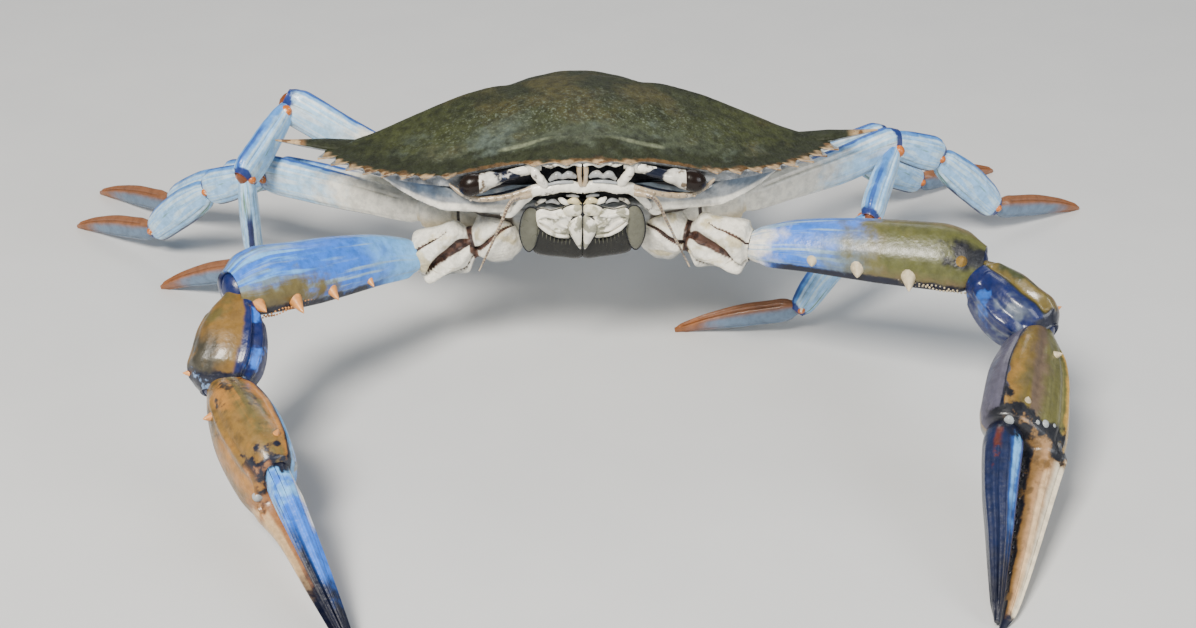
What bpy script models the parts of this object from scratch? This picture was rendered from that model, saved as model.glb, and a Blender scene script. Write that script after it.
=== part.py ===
"""Male blue crab, a still life-size model that stands on its legs with both claws set down in front.

Lengths are in millimetres until a mesh or a matrix is made, where MM turns them into metres. The crab
faces -Y, so its own left is +X. Each limb segment is modelled along its own +X, with its upper side on +Z,
and placed on its joint.
"""

import math

import bmesh
import bpy
from mathutils import Matrix, Vector

MM = 0.001
GAP = 0.35  # between neighbouring pieces, a little more than the least wanted

# Stance: the middle of the line between the two side spines stands this high, nose a little up and turned.
SPINE_LINE_HEIGHT = 61.0
NOSE_UP = math.radians(7.0)
TURN_LEFT = math.radians(2.5)

# Carapace, in the body's own frame, from the middle of the spine line: x to the crab's left, y to its back.
CARAPACE_CENTRE_Y = 6.0
CARAPACE_TOP = 16.0
CARAPACE_SEAM = -5.0  # its underside, where it meets the thorax
MARGIN_THICKNESS = 1.4
# The margin's height at distances from the middle.
MARGIN_LINE = (
    (0, 3.0), (6, 2.9), (12, 2.5), (17, 1.9), (22, 1.0), (27, 0.1), (33, -1.0), (40, -1.9), (50, -2.6),
    (60, -3.0), (66, -2.9), (71, -2.4), (77, -1.5), (85, 0.0),
)
SIDE_BASE_X = 71.0  # where the side spine grows out
SPINE_TIP_X = 85.0
ORBIT_OUTER = (33.0, -32.4)
ARC_CONTROL = (58.0, -27.5)
ARC_END = (SIDE_BASE_X, -4.0)
SIDE_TEETH = 8
SIDE_TOOTH_LENGTH = 3.0
# The front between the eyes, as places along the margin and how far a tooth stands out from each.
FRONT_POINTS = (
    ((0.0, -36.2), (0, 0)), ((4.2, -36.2), (0, -2.2)), ((8.2, -36.2), (0, 0)), ((12.2, -35.6), (0.2, -2.0)),
    ((15.6, -34.2), (0, 0)), ((20.5, -33.2), (0, 0)), ((27.0, -32.8), (0, 0)),
)
BACK_POINTS = (
    (71.0, -1.0), (69.5, 2.0), (64.0, 7.0), (56.0, 13.2), (47.0, 20.2), (38.0, 26.8), (30.0, 32.4),
    (22.0, 35.9), (11.0, 37.2), (0.0, 37.5),
)
CARAPACE_SHARES = (0.06, 0.28, 0.5, 0.68, 0.82, 0.92, 0.97)
# The side spine: share of its length, half width, half height.
SIDE_SPINE = ((0, 3.2, 1.1), (0.38, 3.0, 1.2), (0.7, 1.7, 0.9), (1, 0.35, 0.3))

# Thorax: how far in each level lies between the carapace outline (0) and the breastplate outline (1).
BREAST_HALF = 27.0
THORAX_LEVELS = ((-5.35, 0.04), (-7.0, 0.12), (-9.5, 0.26), (-13.0, 0.55), (-17.5, 0.93), (-23.0, 1.0))
UNDERCUT = 1.2  # how much sooner the sides and back turn in than the front
THORAX_BOTTOM = -26.2
BOTTOM_SHRINK = 0.8

# Mouth frame, open to the front: its back wall's place half way down, and how far that leans back below.
MOUTH_HALF_WIDTH = 17.4
MOUTH_HEIGHT = 18.0
MOUTH_DEPTH = 8.0
MOUTH_BACK_Y = -28.8
MOUTH_MIDDLE_Z = -15.0
MOUTH_LEAN = 0.3
MOUTH_PART_HALF_DEPTH = 1.8

# A plate of a maxilliped: its middle across and up, its half width, half depth and half height, and its lean.
OUTER_PLATE = ((14.0, -16.1), (2.7, 1.7, 7.4), 0.06)
INNER_PLATE = ((7.6, -14.2), (6.4, 1.5, 5.1), 0)
PALP = ((3.0, -16.8), (2.2, 1.4, 6.0), 0)

# Ridge over the mouth, as places across, front to back and up.
MOUTH_RIDGE = (
    (-19, -31.5, -7.6), (-12, -33.6, -6.7), (-5, -34.4, -6.4), (0, -34.8, -7.0), (5, -34.4, -6.4),
    (12, -33.6, -6.7), (19, -31.5, -7.6),
)
RIDGE_RADIUS = 1.0

# Eyes on their stalks: the two ends across and up, then share of the way, half depth and half height.
EYE_LINE_Y = -34.4
EYE_INNER = (12.0, 0.0)
EYE_OUTER = (30.2, -2.4)
EYE_ROWS = (
    (0.0, 1.5, 1.5), (0.1, 1.9, 1.8), (0.55, 1.8, 1.7), (0.74, 2.2, 2.4), (0.9, 2.6, 2.9), (1.0, 2.1, 2.4),
    (1.06, 1.2, 1.2),
)
ANTENNA_PATH = (
    (14.0, -36.3, -5.6), (19.0, -39.0, -6.6), (22.0, -41.5, -12.0), (25.0, -43.5, -18.0),
    (28.0, -44.5, -24.0),
)
ANTENNA_RADII = (1.2, 0.8, 0.5, 0.4, 0.3)

# The narrow tail of a male, under the breastplate: where each joint lies, and its half width there.
APRON_JOINTS = ((20.5, 13.0), (16.0, 12.4), (11.5, 10.0), (7.0, 4.4), (2.0, 3.6), (-4.0, 3.0), (-9.0, 1.4))
APRON_THICKNESS = 1.8
APRON_GROOVE = 0.5

WALKING_SIDES = 10
CLAW_SIDES = 14

# Each limb: its root on the body, then length, heading and slope of each segment, for left and right.
# A heading is counted from +X towards +Y; a slope of None lets the segment's tip down to the floor.
LIMBS = {
    "claw": {
        "root": (20.0, -19.0, -22.0),
        "lengths": (27.0, 62.0, 24.0, 90.0),
        "left": ((-17, -2), (-18, 2), (-52, -25), (-104, None)),
        "right": ((178, -17), (-133, 10), (-97, -42), (-62, None)),
    },
    "leg1": {
        "root": (26.0, -8.2, -21.0),
        "lengths": (20.0, 54.0, 25.0, 33.0, 37.0),
        "left": ((11, 6), (29, 5), (-115, -33), (-156, -48), (175, None)),
        "right": ((160, -4), (153, 0), (150, -24), (148, -38), (146, None)),
    },
    "leg2": {
        "root": (28.0, 1.6, -21.0),
        "lengths": (20.0, 54.0, 25.0, 34.0, 38.0),
        "left": ((16, 3), (36, 2), (28, -24), (28, -42), (30, None)),
        "right": ((161, -5), (145, -6), (143, -18), (142, -30), (142, None)),
    },
    "leg3": {
        "root": (27.0, 11.4, -20.5),
        "lengths": (18.0, 49.0, 25.0, 32.0, 36.0),
        "left": ((25, -6), (50, -6), (42, -26), (38, -28), (36, None)),
        "right": ((145, -6), (173.7, 27.3), (-122, -36), (100, -80), (160, None)),
    },
    "swimmer": {
        "root": (22.0, 20.5, -18.0),
        "lengths": (10.0, 22.0, 18.0, 24.0, 34.0),
        "left": ((50, 0), (65, 2), (75, -10), (82, -20), (86, -22)),
        "right": ((130, 0), (115, 2), (105, -10), (98, -20), (94, -22)),
    },
}
CLAW_SEGMENTS = ("hip", "merus", "carpus", "propodus")
LEG_SEGMENTS = ("hip", "merus", "carpus", "propodus", "dactyl")
TIP_LIFT = 0.45  # a tip's middle stands this high, and what lies below the floor is cut to a flat

# Profiles: along the length, half width front to back, half height, shift forward, shift up, as shares of the
# length and then millimetres.
HIP_CLAW = (
    (-0.12, 4.0, 4.4, 0, 0), (-0.04, 5.3, 6.2, 0, 0), (0.28, 5.6, 6.6, 0, 0), (0.4, 5.0, 5.4, 0, 0),
    (0.52, 5.6, 6.8, 0, 0), (0.84, 6.0, 6.6, 0, 0), (1.02, 4.4, 4.8, 0, 0),
)
HIP_LEG = (
    (-0.18, 3.0, 3.6, 0, 0), (-0.08, 3.8, 4.8, 0, 0), (0.3, 3.8, 5.0, 0, 0), (0.46, 3.3, 4.0, 0, 0),
    (0.6, 3.5, 4.8, 0, 0), (0.88, 3.3, 4.9, 0, 0), (1.04, 2.3, 3.4, 0, 0),
)
HIP_SWIMMER = ((-0.35, 2.8, 3.2, 0, 0), (-0.15, 3.8, 4.4, 0, 0), (0.6, 3.9, 4.6, 0, 0), (1.1, 2.4, 3.0, 0, 0))
MERUS_CLAW = (
    (-0.03, 2.6, 2.6, 0, 0), (0.0, 3.4, 3.3, 0, 0), (0.07, 5.2, 4.6, -0.6, 0), (0.3, 7.0, 5.8, -2.0, 0.3),
    (0.62, 8.3, 6.6, -2.4, 0.5), (0.84, 8.6, 6.7, -1.6, 0.4), (0.95, 7.8, 6.2, -0.6, 0),
    (1.03, 5.4, 4.4, 0, 0),
)
MERUS_LEG = (
    (-0.03, 1.5, 2.0, 0, 0), (0.0, 2.0, 2.9, 0, 0), (0.08, 2.6, 4.1, 0, 0), (0.35, 3.0, 5.0, 0, 0.3),
    (0.7, 3.1, 5.7, 0, 0.3), (0.92, 3.2, 5.8, 0, 0.1), (0.99, 2.9, 5.2, 0, 0), (1.03, 2.2, 4.2, 0, 0),
)
CARPUS_CLAW = (
    (-0.1, 2.8, 2.6, 0, 0), (0.0, 3.8, 3.6, 0, 0), (0.2, 6.6, 5.6, 0, 0), (0.5, 8.6, 7.2, 0, 0.6),
    (0.78, 9.0, 7.6, 0, 0.6), (0.95, 7.6, 6.6, 0, 0), (1.06, 5.0, 4.6, 0, 0),
)
CARPUS_LEG = (
    (-0.07, 1.3, 1.6, 0, 0), (0.0, 1.8, 2.3, 0, 0), (0.18, 2.6, 3.8, 0, 0), (0.5, 3.1, 4.7, 0, 0.3),
    (0.84, 3.2, 5.2, 0, 0.2), (0.98, 2.8, 4.6, 0, 0), (1.03, 2.1, 3.7, 0, 0),
)
PROPODUS_LEG = (
    (-0.05, 1.3, 1.6, 0, 0), (0.0, 1.8, 2.4, 0, 0), (0.14, 2.5, 4.2, 0, 0), (0.45, 2.8, 5.1, 0, 0.2),
    (0.8, 2.6, 4.7, 0, 0.2), (0.96, 2.2, 3.8, 0, 0), (1.03, 1.5, 2.4, 0, 0),
)
DACTYL_LEG = (
    (-0.04, 0.9, 1.2, 0, 0), (0.0, 1.2, 1.9, 0, 0), (0.14, 2.0, 3.4, 0, 0), (0.4, 2.0, 3.3, 0, 0.6),
    (0.7, 1.5, 2.3, 0, 0.8), (0.9, 1.0, 1.3, 0, 0.4), (1.0, 0.6, 0.7, 0, 0),
)
SWIMMER_LINK = (
    (-0.1, 1.5, 1.6, 0, 0), (0.0, 2.2, 2.2, 0, 0), (0.25, 3.6, 2.8, 0, 0), (0.75, 4.2, 3.0, 0, 0),
    (1.06, 2.8, 2.3, 0, 0),
)
SWIMMER_BLADE = (
    (-0.08, 1.6, 1.3, 0, 0), (0.0, 2.6, 1.7, 0, 0), (0.25, 5.4, 1.9, 0, 0), (0.7, 6.8, 1.7, 0, 0),
    (0.95, 5.2, 1.5, 0, 0), (1.03, 3.6, 1.2, 0, 0),
)
PADDLE = (
    (-0.04, 2.0, 0.9, 0, 0), (0.02, 3.4, 1.2, 0, 0), (0.2, 7.8, 1.3, 0, 0), (0.45, 10.4, 1.2, 0, 0),
    (0.7, 9.8, 1.1, 0, 0), (0.88, 6.6, 0.9, 0, 0), (1.0, 2.2, 0.6, 0, 0),
)

# Big claw: the palm widens to where the movable finger is hinged, and the lower finger runs on to the tip.
CHELA = (
    (-0.03, 3.4, 3.4, 0, 0), (0.0, 4.6, 4.6, 0, 0), (0.08, 6.8, 8.4, 0, 0), (0.2, 8.1, 11.2, 0, 0.3),
    (0.32, 8.3, 12.0, 0, 0.2), (0.385, 7.6, 11.6, 0, 0), (0.42, 6.2, 5.8, 0, -6.4), (0.55, 4.9, 4.6, 0, -5.4),
    (0.72, 3.9, 3.2, 0, -3.8), (0.87, 2.6, 2.0, 0, -2.4), (0.96, 1.5, 1.2, 0, -1.2), (1.0, 0.7, 0.7, 0, -0.2),
)
FINGER = (
    (0.37, 2.6, 2.4, 0, 6.0), (0.395, 4.4, 4.2, 0, 6.0), (0.45, 5.1, 4.9, 0, 6.0), (0.58, 4.5, 4.4, 0, 5.4),
    (0.73, 3.5, 3.0, 0, 3.8), (0.87, 2.2, 1.8, 0, 2.5), (0.95, 1.3, 1.0, 0, 1.8), (0.985, 0.7, 0.6, 0, 1.5),
)
CHELA_HINGE = 0.36  # share of the length where the fingers begin
# How thick the fixed and the movable finger are: the crab's right claw is its slender cutter.
FINGER_SLIMNESS = {"left": (1.0, 1.0), "right": (0.6, 0.76)}
# How much narrower the fingers of each claw are than the profiles say, and from which share of the length.
FINGER_NARROWNESS = {"left": 0.9, "right": 0.62}
NARROW_FROM = 0.25
NARROW_OVER = 0.2

# Spines of the claw segments: share of the length, angle round the section from the front edge upwards,
# height, base radius.
CLAW_SPINES = {
    "left": {
        "merus": ((0.3, 40, 2.8, 2.0), (0.5, 33, 3.4, 2.4), (0.72, 30, 5.0, 2.3), (0.94, 88, 2.8, 2.0)),
        "carpus": ((0.86, 186, 2.6, 1.9),),
        "propodus": ((0.1, 190, 2.2, 1.8), (0.32, 150, 2.0, 1.9)),
    },
    "right": {
        "merus": ((0.35, 28, 2.8, 1.6), (0.57, 30, 4.2, 2.1), (0.77, 30, 4.8, 2.3), (0.96, 46, 3.2, 2.1)),
        "carpus": ((0.88, 172, 2.4, 1.9),),
        "propodus": ((0.1, 176, 2.0, 1.8), (0.31, 76, 1.8, 2.0)),
    },
}
SPINE_SIDES = 5
SPINE_TIP_RADIUS = 0.3
SPINE_ROOT = 1.3  # how much wider a spine is at its sunk root than at the surface
SPINE_LEAN = 0.35  # how far a spine leans towards the tip of its limb, as a share of its height

# Teeth along the closing edges of the two fingers.
FINGER_TEETH = 8
TEETH_FROM = 0.47
TEETH_TO = 0.9
TOOTH_HEIGHT = 1.0
TOOTH_RADIUS = 1.5
TOOTH_SIZES = (0.85, 1.15, 0.85)
TOOTH_FALL = 0.3  # how much smaller the last tooth is than the first
TOOTH_FULL_AT = 5.0  # how far a finger's middle is from the closing line where its teeth are full size

# Which way each claw segment's broad upper face looks.
CLAW_FACES = {
    "left": ((0, -0.3, 1), (0, -0.75, 0.66), (-0.2, -0.4, 0.8), (-0.75, 0.1, 0.65)),
    "right": ((0, -0.3, 1), (0, -0.8, 0.6), (0.1, -0.4, 0.8), (0.15, -0.1, 1.0)),
}

MATERIALS = {
    "carapace_shell": ((0.085, 0.095, 0.04), 0.35),
    "pale_shell": ((0.62, 0.60, 0.52), 0.4),
    "blue_shell": ((0.10, 0.27, 0.62), 0.32),
    "claw_shell": ((0.26, 0.19, 0.07), 0.32),
    "leg_shell": ((0.20, 0.40, 0.62), 0.34),
    "eye": ((0.02, 0.014, 0.01), 0.12),
}


def clear_scene():
    for old in list(bpy.data.objects):
        bpy.data.objects.remove(old)


def make_collection(name, shown):
    collection = bpy.data.collections.new(name)
    bpy.context.scene.collection.children.link(collection)
    collection.hide_render = not shown
    return collection


def make_empty(name, parent, matrix):
    empty = bpy.data.objects.new(name, None)
    crab.objects.link(empty)
    empty.parent = parent
    empty.matrix_local = matrix
    return empty


def material(name):
    found = bpy.data.materials.get(name)
    if found:
        return found
    colour, roughness = MATERIALS[name]
    found = bpy.data.materials.new(name)
    found.use_nodes = True
    shader = found.node_tree.nodes["Principled BSDF"]
    shader.inputs["Base Color"].default_value = (*colour, 1)
    shader.inputs["Roughness"].default_value = roughness
    shader.inputs["Metallic"].default_value = 0
    return found


def mesh_of_rings(name, rings):
    """A closed body lofted through rings of points in millimetres, with flat ends."""
    shape = bmesh.new()
    loops = [[shape.verts.new(Vector(p) * MM) for p in ring] for ring in rings]
    count = len(loops[0])
    for first, second in zip(loops, loops[1:]):
        for k in range(count):
            shape.faces.new((first[k], first[(k + 1) % count], second[(k + 1) % count], second[k]))
    shape.faces.new(loops[0])
    shape.faces.new(loops[-1])
    bmesh.ops.recalc_face_normals(shape, faces=shape.faces)
    bmesh.ops.triangulate(shape, faces=[f for f in shape.faces if len(f.verts) > 4])
    mesh = bpy.data.meshes.new(name)
    shape.to_mesh(mesh)
    shape.free()
    return mesh


def triangulated(mesh):
    """The same mesh in triangles, so that what is cut into a bent face stays where it was cut."""
    shape = bmesh.new()
    shape.from_mesh(mesh)
    bmesh.ops.triangulate(shape, faces=shape.faces)
    shape.to_mesh(mesh)
    shape.free()
    return mesh


def add_node(name, mesh, parent, matrix, shell):
    node = bpy.data.objects.new(name, mesh)
    crab.objects.link(node)
    node.parent = parent
    node.matrix_local = matrix
    mesh.materials.clear()
    mesh.materials.append(material(shell))
    return node


def add_tool(name, mesh, parent, matrix):
    tool = bpy.data.objects.new(name, mesh)
    cutters.objects.link(tool)
    tool.parent = parent
    tool.matrix_local = matrix
    tool.hide_render = True
    tool.display_type = "WIRE"
    return tool


def keep_largest(mesh):
    """Drops every closed surface but the one with the largest volume."""
    shape = bmesh.new()
    shape.from_mesh(mesh)
    unseen = set(shape.verts)
    islands = []
    while unseen:
        island = []
        edge_of_island = [unseen.pop()]
        while edge_of_island:
            vertex = edge_of_island.pop()
            island.append(vertex)
            for edge in vertex.link_edges:
                other = edge.other_vert(vertex)
                if other in unseen:
                    unseen.remove(other)
                    edge_of_island.append(other)
        islands.append(island)
    sizes = [island_volume(island) for island in islands]
    largest = sizes.index(max(sizes))
    for k, island in enumerate(islands):
        if k != largest:
            bmesh.ops.delete(shape, geom=island, context="VERTS")
    shape.to_mesh(mesh)
    shape.free()


def island_volume(island):
    faces = {face for vertex in island for face in vertex.link_faces}
    middle = sum((vertex.co for vertex in island), Vector()) / len(island)
    return sum(face.calc_area() * (face.calc_center_median() - middle).dot(face.normal) for face in faces) / 3


def boolean(node, operation, tools, solver="EXACT"):
    """Cuts the node with closed tool objects, or joins them to it, and removes them."""
    group = make_collection("boolean_tools", True)
    for tool in tools:
        group.objects.link(tool)
    step = node.modifiers.new("shape", "BOOLEAN")
    step.operation = operation
    step.operand_type = "COLLECTION"
    step.collection = group
    step.solver = solver
    bpy.context.view_layer.update()
    evaluated = node.evaluated_get(bpy.context.evaluated_depsgraph_get())
    shaped = bpy.data.meshes.new_from_object(evaluated)
    shell = node.data.materials[0]
    node.modifiers.clear()
    node.data = shaped
    shaped.materials.clear()
    shaped.materials.append(shell)
    for tool in tools:
        bpy.data.objects.remove(tool)
    bpy.data.collections.remove(group)
    keep_largest(shaped)


def signed_power(value, power):
    return math.copysign(abs(value) ** power, value)


def section(sides, half_width, half_height, squareness=2.4):
    """Points of a rounded section as pairs across and up."""
    points = []
    for k in range(sides):
        angle = 2 * math.pi * (k + 0.5) / sides
        across = half_width * signed_power(math.cos(angle), 2 / squareness)
        up = half_height * signed_power(math.sin(angle), 2 / squareness)
        points.append((across, up))
    return points


def fade_in(share, start):
    t = min(1.0, max(0.0, (share - start) / (1 - start)))
    return t * t * (3 - 2 * t)


def segment_rings(profile, length, sides, side, bend=(0.0, 0.0), grow=0.0):
    """Rings of one segment along +X. bend moves its far end across and up, away from a sharp joint."""
    rings = []
    last = len(profile) - 1
    for row, (share, half_width, half_height, forward, up) in enumerate(profile):
        along = share * length
        if row == 0:
            along -= grow
        if row == last:
            along += grow
        moved = fade_in(share, 0.6)
        ring = []
        for across, rise in section(sides, half_width + grow, half_height + grow):
            ring.append(
                (along, -side * (across + forward) + bend[0] * moved, rise + up + bend[1] * moved)
            )
        rings.append(ring)
    return rings


def heading(azimuth, slope):
    flat = math.cos(math.radians(slope))
    return Vector(
        (
            flat * math.cos(math.radians(azimuth)),
            flat * math.sin(math.radians(azimuth)),
            math.sin(math.radians(slope)),
        )
    )


def segment_frame(start, direction, face):
    """The placing of a segment: +X along it, +Z as near to its face as it can be."""
    up = (Vector(face) - Vector(face).dot(direction) * direction).normalized()
    across = up.cross(direction)
    frame = Matrix((direction, across, up)).transposed().to_4x4()
    frame.translation = start * MM
    return frame


def body_matrix():
    """From the body's own frame to the stance, with the translation in metres."""
    lift = Matrix.Translation((0, 0, SPINE_LINE_HEIGHT * MM))
    return lift @ Matrix.Rotation(TURN_LEFT, 4, "Z") @ Matrix.Rotation(-NOSE_UP, 4, "X")


def limb_chain(limb, side_name):
    """Joint points and directions of one limb, in millimetres above the floor."""
    side = 1 if side_name == "left" else -1
    x, y, z = limb["root"]
    start = body_matrix() @ (Vector((side * x, y, z)) * MM) / MM
    chain = []
    for length, (azimuth, slope) in zip(limb["lengths"], limb[side_name]):
        if slope is None:
            slope = -math.degrees(math.asin((start.z - TIP_LIFT) / length))
        direction = heading(azimuth, slope)
        chain.append((start, direction, length))
        start = start + direction * length
    return chain


def joint_bend(chain, k, faces, size):
    """How far the end of segment k moves away from the inner side of a sharp joint, across and up."""
    if k + 1 >= len(chain):
        return (0.0, 0.0)
    frame = segment_frame(chain[k][0], chain[k][1], faces[k]).to_3x3()
    following = frame.transposed() @ chain[k + 1][1]
    sideways = Vector((following.y, following.z))
    if sideways.length < 0.2:
        return (0.0, 0.0)
    sharpness = min(1.0, math.acos(max(-1.0, min(1.0, following.x))) / math.radians(100))
    sideways = sideways.normalized() * (-size * sharpness)
    return (sideways.x, sideways.y)


def limb_profiles(limb_name, side_name):
    if limb_name == "claw":
        chela = slimmed(CHELA, FINGER_SLIMNESS[side_name][0], FINGER_NARROWNESS[side_name])
        return (HIP_CLAW, MERUS_CLAW, CARPUS_CLAW, chela)
    if limb_name == "swimmer":
        return (HIP_SWIMMER, SWIMMER_LINK, SWIMMER_LINK, SWIMMER_BLADE, PADDLE)
    return (HIP_LEG, MERUS_LEG, CARPUS_LEG, PROPODUS_LEG, DACTYL_LEG)


def limb_shells(limb_name):
    if limb_name == "claw":
        return ("pale_shell", "blue_shell", "claw_shell", "claw_shell")
    return ("pale_shell", "leg_shell", "leg_shell", "leg_shell", "leg_shell")


def profile_at(profile, share):
    """Half width, half height and shifts of a profile at a share of its length."""
    for low, high in zip(profile, profile[1:]):
        if share <= high[0]:
            t = (share - low[0]) / (high[0] - low[0])
            return tuple(a + (b - a) * t for a, b in zip(low[1:], high[1:]))
    return profile[-1][1:]


def cone(name, base, tip, radius, parent, frame):
    """A closed cone of few sides, as a tool to be joined to a node."""
    direction = (tip - base).normalized()
    across = direction.orthogonal().normalized()
    up = direction.cross(across)
    rings = []
    for middle, size in ((base, radius), (tip, SPINE_TIP_RADIUS)):
        rings.append([middle + across * a + up * u for a, u in section(SPINE_SIDES, size, size, 2)])
    return add_tool(name, mesh_of_rings(name, rings), parent, frame)


def limb_spines(spines, profile, length, side, frame):
    """Spines set on the surface of a segment, each with its root sunk half way to the segment's middle."""
    tools = []
    for share, angle, height, radius in spines:
        half_width, half_height, forward, up = profile_at(profile, share)
        turn = math.radians(angle)
        outward = Vector((0, -side * math.cos(turn), math.sin(turn)))
        middle = Vector((share * length, -side * forward, up))
        surface = middle + Vector((0, outward.y * half_width, outward.z * half_height))
        tip = surface + outward * height + Vector((height * SPINE_LEAN, 0, 0))
        tools.append(cone("spine", middle.lerp(surface, 0.5), tip, radius * SPINE_ROOT, root, frame))
    return tools


def finger_teeth(profile, length, side, frame, rise, offset):
    """Teeth along one closing edge, the two fingers' teeth standing in each other's gaps."""
    tools = []
    for k in range(FINGER_TEETH):
        share = TEETH_FROM + (TEETH_TO - TEETH_FROM) * (k + offset) / FINGER_TEETH
        half_width, half_height, forward, up = profile_at(profile, share)
        edge = Vector((share * length, -side * forward, up + rise * half_height))
        size = TOOTH_SIZES[k % len(TOOTH_SIZES)] * (1 - TOOTH_FALL * k / FINGER_TEETH)
        size *= abs(up) / TOOTH_FULL_AT
        inside = edge - Vector((0, 0, rise * half_height / 2))
        tip = edge + Vector((0, 0, rise * TOOTH_HEIGHT * size))
        tools.append(cone("tooth", inside, tip, TOOTH_RADIUS * (0.6 + 0.4 * size), root, frame))
    return tools


def slimmed(profile, slimness, narrowness):
    """A profile of the big claw with its fingers narrowed and drawn in towards the line where they close."""
    rows = []
    for share, half_width, half_height, forward, up in profile:
        scale = 1 - (1 - slimness) * min(1, max(0, (share - CHELA_HINGE) / 0.15))
        narrow = 1 - (1 - narrowness) * min(1, max(0, (share - NARROW_FROM) / NARROW_OVER))
        rows.append((share, half_width * narrow, half_height * scale, forward, up * scale))
    return tuple(rows)


def build_limb(limb_name, side_name):
    """The nodes of one limb, each cut clear of the next one, and the tool for its socket in the thorax."""
    limb = LIMBS[limb_name]
    side = 1 if side_name == "left" else -1
    names = CLAW_SEGMENTS if limb_name == "claw" else LEG_SEGMENTS
    if limb_name == "swimmer":
        names = LEG_SEGMENTS[:-1] + ("paddle",)
    sides = CLAW_SIDES if limb_name == "claw" else WALKING_SIDES
    chain = limb_chain(limb, side_name)
    faces = CLAW_FACES[side_name] if limb_name == "claw" else ((0, 0, 1),) * len(chain)
    profiles = limb_profiles(limb_name, side_name)
    nodes = []
    tools = []
    for k, (start, direction, length) in enumerate(chain):
        bend = joint_bend(chain, k, faces, 0.5 * profiles[k][-2][1])
        frame = segment_frame(start, direction, faces[k])
        name = f"{limb_name}_{names[k]}_{side_name}"
        mesh = mesh_of_rings(name, segment_rings(profiles[k], length, sides, side, bend))
        nodes.append(add_node(name, mesh, root, frame, limb_shells(limb_name)[k]))
        if limb_name == "claw" and names[k] in CLAW_SPINES[side_name]:
            spines = limb_spines(CLAW_SPINES[side_name][names[k]], profiles[k], length, side, frame)
            if names[k] == "propodus":
                spines += finger_teeth(profiles[k], length, side, frame, 1, 0.0)
            boolean(nodes[-1], "UNION", spines)
        cut = mesh_of_rings("cut_" + name, segment_rings(profiles[k], length, sides, side, bend, GAP))
        tools.append(add_tool("cut_" + name, cut, root, frame))
    socket_tool = tools.pop(0)
    if limb_name == "claw":
        nodes.append(build_finger(side, side_name, chain[-1], faces[-1], nodes[-1]))
    for node, tool in zip(nodes, tools):
        boolean(node, "DIFFERENCE", [tool])
    return nodes, socket_tool


def build_finger(side, side_name, chela, face, palm):
    """The movable finger, and its socket in the palm."""
    start, direction, length = chela
    frame = segment_frame(start, direction, face)
    name = f"claw_dactyl_{side_name}"
    profile = slimmed(FINGER, FINGER_SLIMNESS[side_name][1], FINGER_NARROWNESS[side_name])
    mesh = mesh_of_rings(name, segment_rings(profile, length, CLAW_SIDES - 2, side))
    finger = add_node(name, mesh, root, frame, "blue_shell")
    boolean(finger, "UNION", finger_teeth(profile, length, side, frame, -1, 0.5))
    cut = mesh_of_rings("cut_" + name, segment_rings(profile, length, CLAW_SIDES - 2, side, grow=GAP))
    boolean(palm, "DIFFERENCE", [add_tool("cut_" + name, cut, root, frame)])
    return finger


def margin_height(x):
    """Height of the carapace margin at a distance from the middle."""
    x = abs(x)
    for (near, low), (far, high) in zip(MARGIN_LINE, MARGIN_LINE[1:]):
        if x <= far:
            return low + (high - low) * (x - near) / (far - near)
    return MARGIN_LINE[-1][1]


def arc_point(share):
    """A point of the arc between the orbit and the side spine."""
    a, b, c = Vector(ORBIT_OUTER), Vector(ARC_CONTROL), Vector(ARC_END)
    return a * (1 - share) ** 2 + b * (2 * share * (1 - share)) + c * share**2


def arc_outward(share):
    step = arc_point(min(1, share + 0.01)) - arc_point(max(0, share - 0.01))
    return Vector((-step.y, step.x)).normalized() * -1


def half_outline():
    """Points from the middle of the front to the middle of the back: smooth place, place with its tooth."""
    points = [(Vector(place), Vector(place) + Vector(reach)) for place, reach in FRONT_POINTS]
    for k in range(SIDE_TEETH):
        tip = (k + 0.3) / SIDE_TEETH
        place = arc_point(tip)
        reach = arc_outward(tip) * SIDE_TOOTH_LENGTH * (0.75 + 0.04 * k) + Vector((0, -0.6))
        valley = arc_point((k + 1) / SIDE_TEETH)
        points += [(place, place + reach), (valley, valley)]
    points += [(Vector(place), Vector(place)) for place in BACK_POINTS]
    return points


def full_outline():
    half = half_outline()
    mirrored = [(Vector((-a.x, a.y)), Vector((-b.x, b.y))) for a, b in half[-2:0:-1]]
    return half + mirrored


def carapace_height(share, place):
    """Height of the back above a share of the way from its centre to the margin at this place."""
    edge = margin_height(place.x)
    steepness = 1.05 + 0.65 * min(1.0, abs(place.x) / 66) ** 2
    return edge + (CARAPACE_TOP - edge) * (1 - share * share) ** steepness


def build_carapace():
    outline = full_outline()
    centre = Vector((0, CARAPACE_CENTRE_Y))
    rings = []
    for share in CARAPACE_SHARES:
        ring = []
        for smooth, _ in outline:
            flat = centre + (smooth - centre) * share
            ring.append((flat.x, flat.y, carapace_height(share, smooth) + MARGIN_THICKNESS / 2))
        rings.append(ring)
    for half_thickness in (MARGIN_THICKNESS / 2, -MARGIN_THICKNESS / 2):
        ring = []
        for smooth, tooth in outline:
            thin = 1 - 0.11 * (tooth - smooth).length
            ring.append((tooth.x, tooth.y, margin_height(smooth.x) + half_thickness * thin))
        rings.append(ring)
    ring = []
    for smooth, _ in outline:
        flat = centre + (smooth - centre) * 0.955
        ring.append((flat.x, flat.y, CARAPACE_SEAM))
    rings.append(ring)
    mesh = triangulated(mesh_of_rings("carapace", rings))
    node = add_node("carapace", mesh, body, Matrix(), "carapace_shell")
    tools = []
    for side in (1, -1):
        tools.append(side_spine(side))
    boolean(node, "UNION", tools)
    return node


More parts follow.
